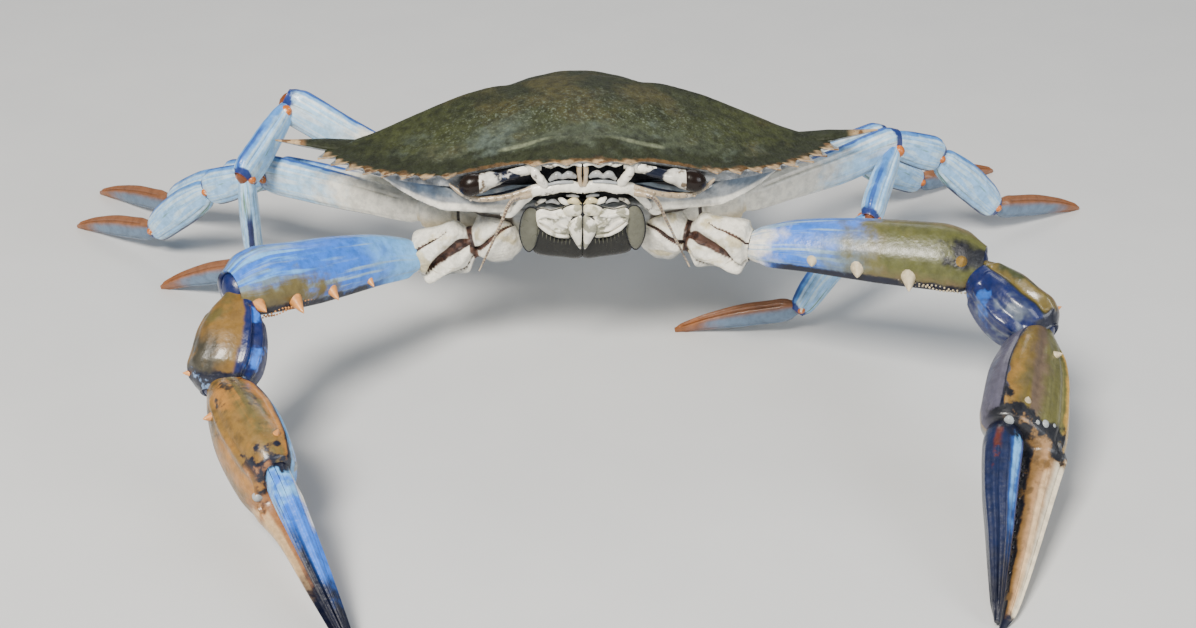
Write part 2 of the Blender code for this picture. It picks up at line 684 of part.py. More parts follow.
def side_spine(side):
    """The long spine at the side of the carapace, its root sunk in the margin."""
    rings = []
    start = Vector((SIDE_BASE_X - 9, 0.6, -2.4))
    tip = Vector((SPINE_TIP_X, 0.0, 0.0))
    for share, half_width, half_height in SIDE_SPINE:
        middle = start.lerp(tip, share)
        outline = section(8, half_width, half_height, 2)
        ring = [(side * middle.x, middle.y + a, middle.z + u) for a, u in outline]
        rings.append(ring)
    return add_tool("spine", mesh_of_rings("spine", rings), body, Matrix())


def thorax_ring(z, share, shrink, count=40):
    """One level of the thorax, between the carapace outline and the breastplate."""
    half = [smooth for smooth, _ in half_outline()]
    ring = []
    for k in range(count):
        angle = 2 * math.pi * k / count - math.pi / 2
        breast = Vector((BREAST_HALF * math.cos(angle), BREAST_HALF * math.sin(angle)))
        rim = outline_towards(half, angle) * 0.93
        turned_in = 1 - (1 - share) ** (1 + UNDERCUT * fade_in(math.sin(angle) + 0.7, 0.0))
        flat = (rim * (1 - turned_in) + breast * turned_in) * shrink
        ring.append((flat.x, flat.y, z))
    return ring


def outline_towards(half, angle):
    """Where a half outline, mirrored for the other side, is met by a line from the middle at this angle."""
    direction = Vector((abs(math.cos(angle)), math.sin(angle)))
    for a, b in zip(half, half[1:]):
        span = b - a
        facing = direction.x * span.y - direction.y * span.x
        if abs(facing) < 1e-9:
            continue
        distance = (a.x * span.y - a.y * span.x) / facing
        share = (a.x * direction.y - a.y * direction.x) / facing
        if distance > 0 and -1e-6 <= share <= 1 + 1e-6:
            return Vector((math.copysign(direction.x, math.cos(angle)), direction.y)) * distance
    return Vector((0, -1)) * -half[0].y


def mouth_opening():
    """The block that opens the mouth frame in the front of the thorax, leaning back as the mouth parts do."""
    bpy.ops.mesh.primitive_cube_add(size=MM)
    block = bpy.context.object
    block.data.transform(Matrix.Diagonal((2 * MOUTH_HALF_WIDTH, MOUTH_DEPTH, MOUTH_HEIGHT, 1)))
    block.parent = body
    back_wall = Matrix.Translation(Vector((0, MOUTH_BACK_Y, MOUTH_MIDDLE_Z)) * MM)
    block.matrix_local = (
        back_wall
        @ Matrix.Rotation(math.atan(MOUTH_LEAN), 4, "X")
        @ Matrix.Translation((0, -MOUTH_DEPTH / 2 * MM, 0))
    )
    return block


def mouth_ridge():
    """The wavy ridge over the mouth, sunk half way into the front of the thorax."""
    rings = []
    for place in MOUTH_RIDGE:
        x, y, z = place
        rings.append([(x, y + a, z + u) for a, u in section(6, RIDGE_RADIUS * 2, RIDGE_RADIUS, 2)])
    return add_tool("ridge", mesh_of_rings("ridge", rings), body, Matrix())


def build_thorax(socket_tools):
    rings = [thorax_ring(z, share, 1.0) for z, share in THORAX_LEVELS]
    rings.append(thorax_ring(THORAX_BOTTOM, 1.0, BOTTOM_SHRINK))
    node = add_node("thorax", mesh_of_rings("thorax", rings), body, Matrix(), "pale_shell")
    boolean(node, "DIFFERENCE", socket_tools + [mouth_opening()])
    boolean(node, "UNION", [mouth_ridge()])
    return node


def eye_rings(side, grow):
    rings = []
    last = len(EYE_ROWS) - 1
    for row, (share, half_depth, half_height) in enumerate(EYE_ROWS):
        x = EYE_INNER[0] + (EYE_OUTER[0] - EYE_INNER[0]) * share
        z = EYE_INNER[1] + (EYE_OUTER[1] - EYE_INNER[1]) * share
        x += grow * ((row == last) - (row == 0))
        outline = section(10, half_depth + grow, half_height + grow, 2)
        ring = [(side * x, EYE_LINE_Y + a, z + u) for a, u in outline]
        rings.append(ring)
    return rings


def build_eye(side, side_name, carapace, thorax):
    """A stalked eye in its orbit, which is cut into the carapace and the thorax."""
    node = add_node(f"eye_{side_name}", mesh_of_rings("eye", eye_rings(side, 0)), body, Matrix(), "eye")
    for shell in (carapace, thorax):
        orbit = mesh_of_rings("orbit", eye_rings(side, GAP))
        boolean(shell, "DIFFERENCE", [add_tool("orbit", orbit, body, Matrix())])
    return node


def build_antenna(side, side_name):
    path = [Vector((side * x, y, z)) for x, y, z in ANTENNA_PATH]
    rings = []
    for k, middle in enumerate(path):
        direction = (path[min(k + 1, len(path) - 1)] - path[max(k - 1, 0)]).normalized()
        across = direction.cross(Vector((0, 1, 0))).normalized()
        up = across.cross(direction)
        radius = ANTENNA_RADII[k]
        rings.append([middle + across * a + up * u for a, u in section(6, radius, radius, 2)])
    return add_node(f"antenna_{side_name}", mesh_of_rings("antenna", rings), body, Matrix(), "pale_shell")


def mouth_part(name, centre, half, lean, side):
    """A rounded plate of a mouth limb in front of the mouth's back wall, its middle across and up."""
    rings = []
    for share in (-1, -0.8, -0.3, 0.3, 0.8, 1):
        wide = math.sqrt(max(0.05, 1 - share * share))
        ring = []
        for a, u in section(8, half[0] * wide, half[1] * max(0.5, wide), 2):
            z = centre[1] + share * half[2]
            y = MOUTH_BACK_Y + MOUTH_LEAN * (MOUTH_MIDDLE_Z - z) - GAP - MOUTH_PART_HALF_DEPTH + u
            ring.append((side * (centre[0] + a + lean * share * half[2]), y, z))
        rings.append(ring)
    return mesh_of_rings(name, rings)


def build_maxilliped(side, side_name):
    """One half of the mouth's cover: an outer bar, an inner plate and the palp at the middle."""
    outer = mouth_part("outer", *OUTER_PLATE, side)
    node = add_node(f"maxilliped_{side_name}", outer, body, Matrix(), "pale_shell")
    inner = add_tool("inner", mouth_part("inner", *INNER_PLATE, side), body, Matrix())
    palp = add_tool("palp", mouth_part("palp", *PALP, side), body, Matrix())
    boolean(node, "UNION", [inner, palp])
    return node


def build_apron():
    """The tail, folded flat under the breastplate, with a groove at each joint."""
    top = THORAX_BOTTOM - GAP
    rings = []
    for k, (y, half_width) in enumerate(APRON_JOINTS):
        following = APRON_JOINTS[min(k + 1, len(APRON_JOINTS) - 1)]
        rows = [(y, half_width, APRON_THICKNESS - APRON_GROOVE)]
        if k + 1 < len(APRON_JOINTS):
            for share in (0.2, 0.8):
                reached = 0.1 if share < 0.5 else 0.7
                place = y * (1 - share) + following[0] * share
                rows.append((place, half_width * (1 - reached) + following[1] * reached, APRON_THICKNESS))
        for along, half, depth in rows:
            ring = [(-half, 0), (half, 0), (half * 0.9, -depth * 0.7), (half * 0.6, -depth)]
            ring += [(-half * 0.6, -depth), (-half * 0.9, -depth * 0.7)]
            rings.append([(x, along, top + z) for x, z in ring])
    return add_node("apron", mesh_of_rings("apron", rings), body, Matrix(), "pale_shell")


def cut_at_floor(nodes):
    """Gives whatever reaches below the floor a small flat on it."""
    for node in nodes:
        bpy.context.view_layer.update()
        if min((node.matrix_world @ v.co).z for v in node.data.vertices) > -1e-6:
            continue
        bpy.ops.mesh.primitive_cube_add(size=1, location=(0, 0, -0.05))
        block = bpy.context.object
        block.scale = (0.6, 0.6, 0.1)
        boolean(node, "DIFFERENCE", [block])


def centre_on_floor(nodes):
    """Moves the crab so that the middle of its footprint is the origin."""
    bpy.context.view_layer.update()
    points = [node.matrix_world @ v.co for node in nodes for v in node.data.vertices]
    low = [min(p[k] for p in points) for k in (0, 1)]
    high = [max(p[k] for p in points) for k in (0, 1)]
    root.location = (-(low[0] + high[0]) / 2, -(low[1] + high[1]) / 2, 0)


clear_scene()
crab = make_collection("blue_crab", True)
cutters = make_collection("cutters", False)
root = make_empty("root", None, Matrix())
body = make_empty("body", root, body_matrix())

solids = []
sockets = []
for limb_name in LIMBS:
    for side_name in ("left", "right"):
        made, socket = build_limb(limb_name, side_name)
        solids += made
        sockets.append(socket)
carapace = build_carapace()
thorax = build_thorax(sockets)
solids += [carapace, thorax, build_apron()]
for side, side_name in ((1, "left"), (-1, "right")):
    solids.append(build_eye(side, side_name, carapace, thorax))
    solids.append(build_antenna(side, side_name))
    solids.append(build_maxilliped(side, side_name))
cut_at_floor(solids)
centre_on_floor(solids)
for solid in solids:
    solid.data.shade_smooth()
    solid.data.set_sharp_from_angle(angle=math.radians(40))
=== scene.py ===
"""The looks of a male blue crab, a life-size model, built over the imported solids.

Lengths are in millimetres until a mesh is made, where MM turns them into metres. The crab faces -Y, and its
own left is +X. Each limb segment is modelled along its own +X, its upper face on +Z, and placed on its joint.
"""

import math

import bmesh
import bpy
import numpy as np
from mathutils import Matrix, Vector, noise


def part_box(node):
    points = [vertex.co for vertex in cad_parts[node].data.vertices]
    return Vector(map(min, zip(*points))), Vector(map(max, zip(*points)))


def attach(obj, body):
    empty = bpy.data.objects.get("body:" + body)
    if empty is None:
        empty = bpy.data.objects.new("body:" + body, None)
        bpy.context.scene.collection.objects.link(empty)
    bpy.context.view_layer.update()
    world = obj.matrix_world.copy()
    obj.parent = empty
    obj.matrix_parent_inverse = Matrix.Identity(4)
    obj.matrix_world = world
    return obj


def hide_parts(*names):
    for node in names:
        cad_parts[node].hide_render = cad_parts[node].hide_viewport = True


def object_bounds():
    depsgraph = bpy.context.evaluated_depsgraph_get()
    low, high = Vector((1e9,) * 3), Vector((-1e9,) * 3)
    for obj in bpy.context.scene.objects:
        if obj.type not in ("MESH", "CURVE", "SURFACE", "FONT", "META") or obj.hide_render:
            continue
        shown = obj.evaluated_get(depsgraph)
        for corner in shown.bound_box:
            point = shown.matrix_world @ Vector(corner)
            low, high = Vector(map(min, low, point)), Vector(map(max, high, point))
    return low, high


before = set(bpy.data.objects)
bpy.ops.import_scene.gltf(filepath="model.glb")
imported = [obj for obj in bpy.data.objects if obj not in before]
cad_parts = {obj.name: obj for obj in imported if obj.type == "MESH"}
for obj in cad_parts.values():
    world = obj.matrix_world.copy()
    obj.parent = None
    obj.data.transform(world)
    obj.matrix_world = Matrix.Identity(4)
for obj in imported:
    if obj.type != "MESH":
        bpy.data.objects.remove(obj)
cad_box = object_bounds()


MM = 0.001

# Stance of the body, as in the solids.
SPINE_LINE_HEIGHT = 61.0
NOSE_UP = math.radians(7.0)
TURN_LEFT = math.radians(2.5)

# Carapace, in the body's own frame.
CARAPACE_CENTRE_Y = 6.0
CARAPACE_TOP = 16.0
MARGIN_THICKNESS = 1.4
MARGIN_LINE = (
    (0, 3.0), (6, 2.9), (12, 2.5), (17, 1.9), (22, 1.0), (27, 0.1), (33, -1.0), (40, -1.9), (50, -2.6),
    (60, -3.0), (66, -2.9), (71, -2.4), (77, -1.5), (85, 0.0),
)
SIDE_BASE_X = 71.0
SPINE_TIP_X = 85.0
ORBIT_OUTER = (33.0, -32.4)
ARC_CONTROL = (58.0, -27.5)
ARC_END = (SIDE_BASE_X, -4.0)
SIDE_TEETH = 8
SIDE_TOOTH_LENGTH = 3.0
FRONT_POINTS = (
    (0.0, -36.2), (4.2, -36.2), (8.2, -36.2), (12.2, -35.6), (15.6, -34.2), (20.5, -33.2), (27.0, -32.8),
)
BACK_POINTS = (
    (71.0, -1.0), (69.5, 2.0), (64.0, 7.0), (56.0, 13.2), (47.0, 20.2), (38.0, 26.8), (30.0, 32.4),
    (22.0, 35.9), (11.0, 37.2), (0.0, 37.5),
)

# Each limb: its root on the body, and each segment's length, then its heading and slope, left and right.
LIMBS = {
    "claw": {
        "root": (20.0, -19.0, -22.0),
        "lengths": (27.0, 62.0, 24.0, 90.0),
        "left": ((-17, -2), (-18, 2), (-52, -25), (-104, None)),
        "right": ((178, -17), (-133, 10), (-97, -42), (-62, None)),
    },
    "leg1": {
        "root": (26.0, -8.2, -21.0),
        "lengths": (20.0, 54.0, 25.0, 33.0, 37.0),
        "left": ((11, 6), (29, 5), (-115, -33), (-156, -48), (175, None)),
        "right": ((160, -4), (153, 0), (150, -24), (148, -38), (146, None)),
    },
    "leg2": {
        "root": (28.0, 1.6, -21.0),
        "lengths": (20.0, 54.0, 25.0, 34.0, 38.0),
        "left": ((16, 3), (36, 2), (28, -24), (28, -42), (30, None)),
        "right": ((161, -5), (145, -6), (143, -18), (142, -30), (142, None)),
    },
    "leg3": {
        "root": (27.0, 11.4, -20.5),
        "lengths": (18.0, 49.0, 25.0, 32.0, 36.0),
        "left": ((25, -6), (50, -6), (42, -26), (38, -28), (36, None)),
        "right": ((145, -6), (173.7, 27.3), (-122, -36), (100, -80), (160, None)),
    },
    "swimmer": {
        "root": (22.0, 20.5, -18.0),
        "lengths": (10.0, 22.0, 18.0, 24.0, 34.0),
        "left": ((50, 0), (65, 2), (75, -10), (82, -20), (86, -22)),
        "right": ((130, 0), (115, 2), (105, -10), (98, -20), (94, -22)),
    },
}
CLAW_SEGMENTS = ("hip", "merus", "carpus", "propodus")
LEG_SEGMENTS = ("hip", "merus", "carpus", "propodus", "dactyl")
SWIMMER_SEGMENTS = ("hip", "merus", "carpus", "propodus", "paddle")
TIP_LIFT = 0.45
CLAW_FACES = {
    "left": ((0, -0.3, 1), (0, -0.75, 0.66), (-0.2, -0.4, 0.8), (-0.75, 0.1, 0.65)),
    "right": ((0, -0.3, 1), (0, -0.8, 0.6), (0.1, -0.4, 0.8), (0.15, -0.1, 1.0)),
}


def full_rows(*rows):
    """A profile's rows, with 0 for shifts left out at a row's end."""
    return tuple((*row, *(0,) * (5 - len(row))) for row in rows)


# Profiles of the segments: share of the length, half width, half height, shift forward, shift up.
HIP_CLAW = full_rows(
    (-0.12, 3.6, 4.0), (-0.06, 5.2, 5.8), (0.08, 6.0, 7.2), (0.2, 5.9, 6.8), (0.31, 5.0, 5.0),
    (0.35, 4.0, 4.2), (0.41, 4.0, 4.2), (0.45, 5.0, 5.6), (0.52, 6.1, 7.2), (0.7, 5.9, 6.6),
    (0.92, 6.3, 6.9), (0.98, 6.0, 6.4), (1.0, 4.9, 5.2), (1.02, 4.2, 4.6),
)
HIP_LEG = full_rows(
    (-0.18, 3.0, 3.6), (-0.1, 3.7, 4.8), (0.2, 3.9, 5.0), (0.34, 3.6, 4.6), (0.38, 2.8, 3.4),
    (0.44, 2.8, 3.4), (0.48, 3.4, 4.6), (0.9, 3.5, 5.0), (0.98, 3.2, 4.6), (1.0, 2.5, 3.7),
    (1.04, 2.2, 3.3),
)
HIP_SWIMMER = full_rows((-0.35, 2.8, 3.2), (-0.15, 3.8, 4.4), (0.6, 3.9, 4.6), (1.1, 2.4, 3.0))
MERUS_CLAW = full_rows(
    (-0.03, 2.6, 2.6), (0.0, 3.4, 3.3), (0.07, 5.2, 4.6, -0.6), (0.3, 7.0, 5.8, -2.0, 0.3),
    (0.62, 8.3, 6.6, -2.4, 0.5), (0.84, 8.6, 6.7, -1.6, 0.4), (0.95, 7.8, 6.2, -0.6), (1.03, 5.4, 4.4),
)
MERUS_LEG = full_rows(
    (-0.03, 1.5, 2.0), (0.0, 2.0, 2.9), (0.08, 2.6, 4.1), (0.35, 3.0, 5.0, 0, 0.3), (0.7, 3.1, 5.7, 0, 0.3),
    (0.92, 3.2, 5.8, 0, 0.1), (0.99, 2.9, 5.2), (1.03, 2.2, 4.2),
)
CARPUS_CLAW = full_rows(
    (-0.1, 2.8, 2.6), (0.0, 3.8, 3.6), (0.2, 6.6, 5.6), (0.5, 8.6, 7.2, 0, 0.6), (0.78, 9.0, 7.6, 0, 0.6),
    (0.95, 7.6, 6.6), (1.06, 5.0, 4.6),
)
CARPUS_LEG = full_rows(
    (-0.07, 1.3, 1.6), (0.0, 1.8, 2.3), (0.18, 2.6, 3.8), (0.5, 3.1, 4.7, 0, 0.3), (0.84, 3.2, 5.2, 0, 0.2),
    (0.98, 2.8, 4.6), (1.03, 2.1, 3.7),
)
PROPODUS_LEG = full_rows(
    (-0.05, 1.3, 1.6), (0.0, 1.8, 2.4), (0.14, 2.5, 4.2), (0.45, 2.8, 5.1, 0, 0.2), (0.8, 2.6, 4.7, 0, 0.2),
    (0.96, 2.2, 3.8), (1.03, 1.5, 2.4),
)
DACTYL_LEG = full_rows(
    (-0.04, 0.9, 1.2), (0.0, 1.2, 1.9), (0.14, 2.0, 3.4), (0.4, 2.0, 3.3, 0, 0.6), (0.7, 1.5, 2.3, 0, 0.8),
    (0.9, 1.0, 1.3, 0, 0.4), (1.0, 0.6, 0.7),
)
SWIMMER_LINK = full_rows(
    (-0.1, 1.5, 1.6), (0.0, 2.2, 2.2), (0.25, 3.6, 2.8), (0.75, 4.2, 3.0), (1.06, 2.8, 2.3),
)
SWIMMER_BLADE = full_rows(
    (-0.08, 1.6, 1.3), (0.0, 2.6, 1.7), (0.25, 5.4, 1.9), (0.7, 6.8, 1.7), (0.95, 5.2, 1.5),
    (1.03, 3.6, 1.2),
)
PADDLE = full_rows(
    (-0.04, 2.0, 0.9), (0.02, 3.4, 1.2), (0.2, 7.8, 1.3), (0.45, 10.4, 1.2), (0.7, 9.8, 1.1),
    (0.88, 6.6, 0.9), (1.0, 2.2, 0.6),
)
CHELA = full_rows(
    (-0.03, 3.4, 3.4), (0.0, 4.6, 4.6), (0.08, 6.8, 8.4), (0.2, 8.1, 11.2, 0, 0.3),
    (0.32, 8.3, 12.0, 0, 0.2), (0.385, 7.6, 11.6), (0.42, 6.2, 5.8, 0, -6.4), (0.55, 4.9, 4.6, 0, -5.4),
    (0.72, 3.9, 3.2, 0, -3.8), (0.87, 2.6, 2.0, 0, -2.4), (0.96, 1.5, 1.2, 0, -1.2),
    (1.0, 0.7, 0.7, 0, -0.2),
)
FINGER = full_rows(
    (0.37, 2.6, 2.4, 0, 6.0), (0.395, 4.4, 4.2, 0, 6.0), (0.45, 5.1, 4.9, 0, 6.0), (0.58, 4.5, 4.4, 0, 5.4),
    (0.73, 3.5, 3.0, 0, 3.8), (0.87, 2.2, 1.8, 0, 2.5), (0.95, 1.3, 1.0, 0, 1.8), (0.985, 0.7, 0.6, 0, 1.5),
)
CHELA_HINGE = 0.36
FINGER_SLIMNESS = {"left": (1.0, 1.0), "right": (0.6, 0.76)}
FINGER_NARROWNESS = {"left": 0.9, "right": 0.62}
NARROW_FROM = 0.25
NARROW_OVER = 0.2

# The camera, from the middle of the side spines' line on the floor.
CAMERA_PLACE = (5.6, -504.4, 280.3)
CAMERA_DOWN = math.radians(28.77)
CAMERA_LENS = 58.43

# Linear colours.
WHITE = (0.92, 0.88, 0.76)
GREY = (0.34, 0.36, 0.37)
SLATE = (0.12, 0.16, 0.20)
CREAM = (0.66, 0.55, 0.36)
OLIVE = (0.042, 0.050, 0.016)
OLIVE_DARK = (0.022, 0.027, 0.010)
OLIVE_BROWN = (0.11, 0.085, 0.022)
OCHRE = (0.26, 0.145, 0.032)
BLUE = (0.028, 0.19, 0.82)
BLUE_PALE = (0.18, 0.51, 0.96)
BLUE_DEEP = (0.004, 0.013, 0.095)
ORANGE = (0.60, 0.16, 0.02)
BROWN = (0.10, 0.045, 0.016)
BLACK = (0.006, 0.007, 0.012)


# Placing

def body_matrix():
    """From the body's own frame to the stance, in millimetres."""
    lift = Matrix.Translation((0, 0, SPINE_LINE_HEIGHT))
    return lift @ Matrix.Rotation(TURN_LEFT, 4, "Z") @ Matrix.Rotation(-NOSE_UP, 4, "X")


def heading(azimuth, slope):
    flat = math.cos(math.radians(slope))
    turn = math.radians(azimuth)
    return Vector((flat * math.cos(turn), flat * math.sin(turn), math.sin(math.radians(slope))))


def segment_frame(start, direction, face):
    up = (Vector(face) - Vector(face).dot(direction) * direction).normalized()
    across = up.cross(direction)
    placed = Matrix((direction, across, up)).transposed().to_4x4()
    placed.translation = start
    return placed


def limb_chain(limb, side_name):
    """Joint points and directions of one limb, in millimetres above the floor."""
    side = 1 if side_name == "left" else -1
    x, y, z = limb["root"]
    start = body_matrix() @ Vector((side * x, y, z))
    chain = []
    for length, (azimuth, slope) in zip(limb["lengths"], limb[side_name]):
        if slope is None:
            slope = -math.degrees(math.asin((start.z - TIP_LIFT) / length))
        direction = heading(azimuth, slope)
        chain.append((start, direction, length))
        start = start + direction * length
    return chain


def fade(value, start, end):
    """0 before start, 1 after end, smooth between them. It takes numbers and arrays."""
    t = np.clip((np.asarray(value, float) - start) / (end - start), 0, 1)
    return t * t * (3 - 2 * t)


def band(value, start, full, falling, end):
    """1 between full and falling, 0 before start and after end, smooth between them."""
    return fade(value, start, full) * (1 - fade(value, falling, end))


def bell(value, middle, width):
    """1 at the middle, 0.37 at the width from it, and near 0 beyond twice the width."""
    return np.exp(-(((value - middle) / width) ** 2))


def joint_bend(chain, k, faces, size):
    """How far the end of segment k moves away from the inner side of a sharp joint, across and up."""
    if k + 1 >= len(chain):
        return (0.0, 0.0)
    placed = segment_frame(chain[k][0], chain[k][1], faces[k]).to_3x3()
    following = placed.transposed() @ chain[k + 1][1]
    sideways = Vector((following.y, following.z))
    if sideways.length < 0.2:
        return (0.0, 0.0)
    sharpness = min(1.0, math.acos(max(-1.0, min(1.0, following.x))) / math.radians(100))
    sideways = sideways.normalized() * (-size * sharpness)
    return (sideways.x, sideways.y)


def slimmed(profile, slimness, narrowness):
    """A profile of the big claw with its fingers narrowed and drawn in towards the line where they close."""
    rows = []
    for share, half_width, half_height, forward, up in profile:
        scale = 1 - (1 - slimness) * min(1, max(0, (share - CHELA_HINGE) / 0.15))
        narrow = 1 - (1 - narrowness) * min(1, max(0, (share - NARROW_FROM) / NARROW_OVER))
        rows.append((share, half_width * narrow, half_height * scale, forward, up * scale))
    return tuple(rows)


# The eyes as in the solids: the line they lie on, and share of its length, half depth and half height.
EYE_LINE_Y = -34.4
EYE_INNER = (12.0, 0.0)
EYE_OUTER = (30.2, -2.4)
EYE_ROWS = (
    (0.0, 1.5, 1.5), (0.1, 1.9, 1.8), (0.55, 1.8, 1.7), (0.74, 2.2, 2.4), (0.9, 2.6, 2.9), (1.0, 2.1, 2.4),
    (1.06, 1.2, 1.2),
)
SOLID_EYE_SIDES = 10


def eye_place(share):
    x = EYE_INNER[0] + (EYE_OUTER[0] - EYE_INNER[0]) * share
    z = EYE_INNER[1] + (EYE_OUTER[1] - EYE_INNER[1]) * share
    return x, EYE_LINE_Y, z


def root_shift():
    """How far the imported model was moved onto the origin, from where its left eye lies."""
    points = []
    for share, half_depth, half_height in EYE_ROWS:
        x, y, z = eye_place(share)
        for k in range(SOLID_EYE_SIDES):
            angle = 2 * math.pi * (k + 0.5) / SOLID_EYE_SIDES
            point = Vector((x, y + half_depth * math.cos(angle), z + half_height * math.sin(angle)))
            points.append(body_matrix() @ point)
    low, high = (Vector(corner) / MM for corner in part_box("eye_left"))
    shift = Vector((0, 0, 0))
    for k in (0, 1):
        lowest = min(p[k] for p in points)
        highest = max(p[k] for p in points)
        shift[k] = (low[k] + high[k] - lowest - highest) / 2
    return shift


SHIFT = root_shift()
BODY = Matrix.Translation(SHIFT) @ body_matrix()


# Meshes in the making

def smooth_curve(x, y, at):
    """A curve through the points (x, y) that doesn't overshoot, read at each value of at."""
    x, y, at = (np.asarray(v, float) for v in (x, y, at))
    step = np.diff(x)
    slope = np.diff(y) / step
    tangent = np.zeros(len(x))
    tangent[0], tangent[-1] = slope[0], slope[-1]
    for k in range(1, len(x) - 1):
        if slope[k - 1] * slope[k] > 0:
            first, second = 2 * step[k] + step[k - 1], step[k] + 2 * step[k - 1]
            tangent[k] = (first + second) / (first / slope[k - 1] + second / slope[k])
    k = np.clip(np.searchsorted(x, at) - 1, 0, len(step) - 1)
    t = np.clip((at - x[k]) / step[k], 0, 1)
    start = (1 + 2 * t) * (1 - t) ** 2 * y[k] + t * (1 - t) ** 2 * step[k] * tangent[k]
    end = t * t * (3 - 2 * t) * y[k + 1] + t * t * (t - 1) * step[k] * tangent[k + 1]
    return start + end


def table_curves(table, at):
    """Each further column of a table as a smooth curve over its first one, read at each value of at."""
    first, *others = np.array(table, float).T
    return [smooth_curve(first, column, at) for column in others]


def turn_angles(sides, offset=0.0):
    return 2 * np.pi * (np.arange(sides) + offset) / sides


def ring_around(direction, other, sides):
    """A circle of radius 1 round a direction. other is any direction that isn't close to it."""
    across = np.cross(direction, other)
    across /= np.linalg.norm(across)
    up = np.cross(direction, across)
    angle = turn_angles(sides)[:, None]
    return across * np.cos(angle) + up * np.sin(angle)


# What the materials can read at each point.
MARKS = ("along", "upper", "front", "tip", "joint")


class Piece:
    """Closed surfaces that become one object, with what the materials read at each point."""

    def __init__(self, name):
        self.name = name
        self.points = []
        self.faces = []
        self.marks = {mark: [] for mark in MARKS}
        self.count = 0

    def add_grid(self, grid, marks=None, caps=True):
        """Adds rings of points, shape (rings, sides, 3), closed round and capped at both ends."""
        grid = np.asarray(grid, float)
        rings, sides = grid.shape[:2]
        index = self.count + np.arange(rings * sides).reshape(rings, sides)
        following = np.roll(index, -1, axis=1)
        quads = np.stack([index[:-1], following[:-1], following[1:], index[1:]], axis=-1).reshape(-1, 4)
        self.points.append(grid.reshape(-1, 3))
        self.faces += quads.tolist()
        if caps:
            self.faces.append(index[0][::-1].tolist())
            self.faces.append(index[-1].tolist())
        for mark in MARKS:
            values = (marks or {}).get(mark, 0.0)
            self.marks[mark].append(np.broadcast_to(values, (rings, sides)).reshape(-1).astype(float))
        self.count += rings * sides

    def finish(self, matrix, materials, nodes=(), sharp=60):
        """Makes the object: places it, turns its faces outwards and rides it on the crab."""
        points = np.concatenate(self.points)
        rotation = np.array(matrix.to_3x3())
        points = points @ rotation.T + np.array(matrix.translation)
        points = np.clip(points * MM, *cad_box)
        mesh = bpy.data.meshes.new(self.name)
        mesh.from_pydata(points.tolist(), [], self.faces)
        for mark in MARKS:
            values = np.concatenate(self.marks[mark])
            layer = mesh.attributes.new(mark, "FLOAT", "POINT")
            layer.data.foreach_set("value", values)
        for shade in materials if isinstance(materials, (list, tuple)) else [materials]:
            mesh.materials.append(shade)
        turn_outwards(mesh)
        mesh.shade_smooth()
        mesh.set_sharp_from_angle(angle=math.radians(sharp))
        made = bpy.data.objects.new(self.name, mesh)
        bpy.context.scene.collection.objects.link(made)
        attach(made, "root")
        if nodes:
            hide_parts(*nodes)


def turn_outwards(mesh):
    shape = bmesh.new()
    shape.from_mesh(mesh)
    bmesh.ops.recalc_face_normals(shape, faces=shape.faces)
    shape.to_mesh(mesh)
    shape.free()


def signed_power(value, power):
    return np.sign(value) * np.abs(value) ** power


def spread(start, end, count, ends=0.5):
    """Numbers from start to end, closer together towards both ends."""
    t = np.linspace(0, 1, count)
    eased = (1 - np.cos(np.pi * t)) / 2
    return start + (end - start) * (t * (1 - ends) + eased * ends)


def noise_at(points, scale, seed=0.0):
    """Smooth noise in about -1 to 1 at each point, in millimetres."""
    shift = Vector((seed * 7.3, seed * 3.1, seed * 5.7))
    flat = np.asarray(points).reshape(-1, 3)
    values = [noise.noise(Vector(p) * scale + shift) for p in flat]
    return np.array(values).reshape(np.asarray(points).shape[:-1])


# The cup at a segment's open end: scale of each ring, and how far it lies back from the end.
CUP_RINGS = ((0.97, -0.35), (0.9, -0.3), (0.82, 0.3), (0.74, 1.6), (0.66, 3.0))
RIDGE_END = 0.06


def segment_grid(profile, length, side, bend, rings, sides, squareness, ridges, open_end):
    """Rings of one segment along +X and their marks. A ridge is an angle, a width, a height and two ends."""
    shares = spread(profile[0][0], profile[-1][0], rings, 0.35)
    half_width, half_height, forward, up = table_curves(profile, shares)
    angle = turn_angles(sides, 0.5)
    cosine, sine = np.cos(angle), np.sin(angle)
    across = half_width[:, None] * signed_power(cosine, 2 / squareness)[None]
    rise = half_height[:, None] * signed_power(sine, 2 / squareness)[None]
    size = np.hypot(across, rise) + 1e-6
    lift = np.zeros_like(across)
    for degrees, width, height, start, end in ridges:
        apart = (np.degrees(angle) - degrees + 180) % 360 - 180
        window = band(shares, start, start + RIDGE_END, end - RIDGE_END, end)
        lift += window[:, None] * height * bell(apart, 0, width)[None]
    across = across * (1 + lift / size) + forward[:, None]
    rise = rise * (1 + lift / size) + up[:, None]
    moved = fade(shares, 0.6, 1.0)[:, None]
    along = np.broadcast_to((shares * length)[:, None], across.shape)
    grid = np.stack([along, -side * across + bend[0] * moved, rise + bend[1] * moved], axis=-1)
    joint = np.zeros(rings)
    if open_end:
        middle = grid[-1].mean(axis=0)
        cup = []
        for scale, back in CUP_RINGS:
            ring = middle + (grid[-1] - middle) * scale
            ring[:, 0] -= back
            cup.append(ring)
        grid = np.concatenate([grid, np.array(cup)])
        shares = np.concatenate([shares, np.full(len(cup), shares[-1])])
        joint = np.concatenate([joint, np.linspace(0.3, 1, len(cup))])
    found = {"along": shares[:, None], "upper": sine[None], "front": cosine[None], "joint": joint[:, None]}
    return grid, {mark: np.broadcast_to(values, grid.shape[:2]) for mark, values in found.items()}


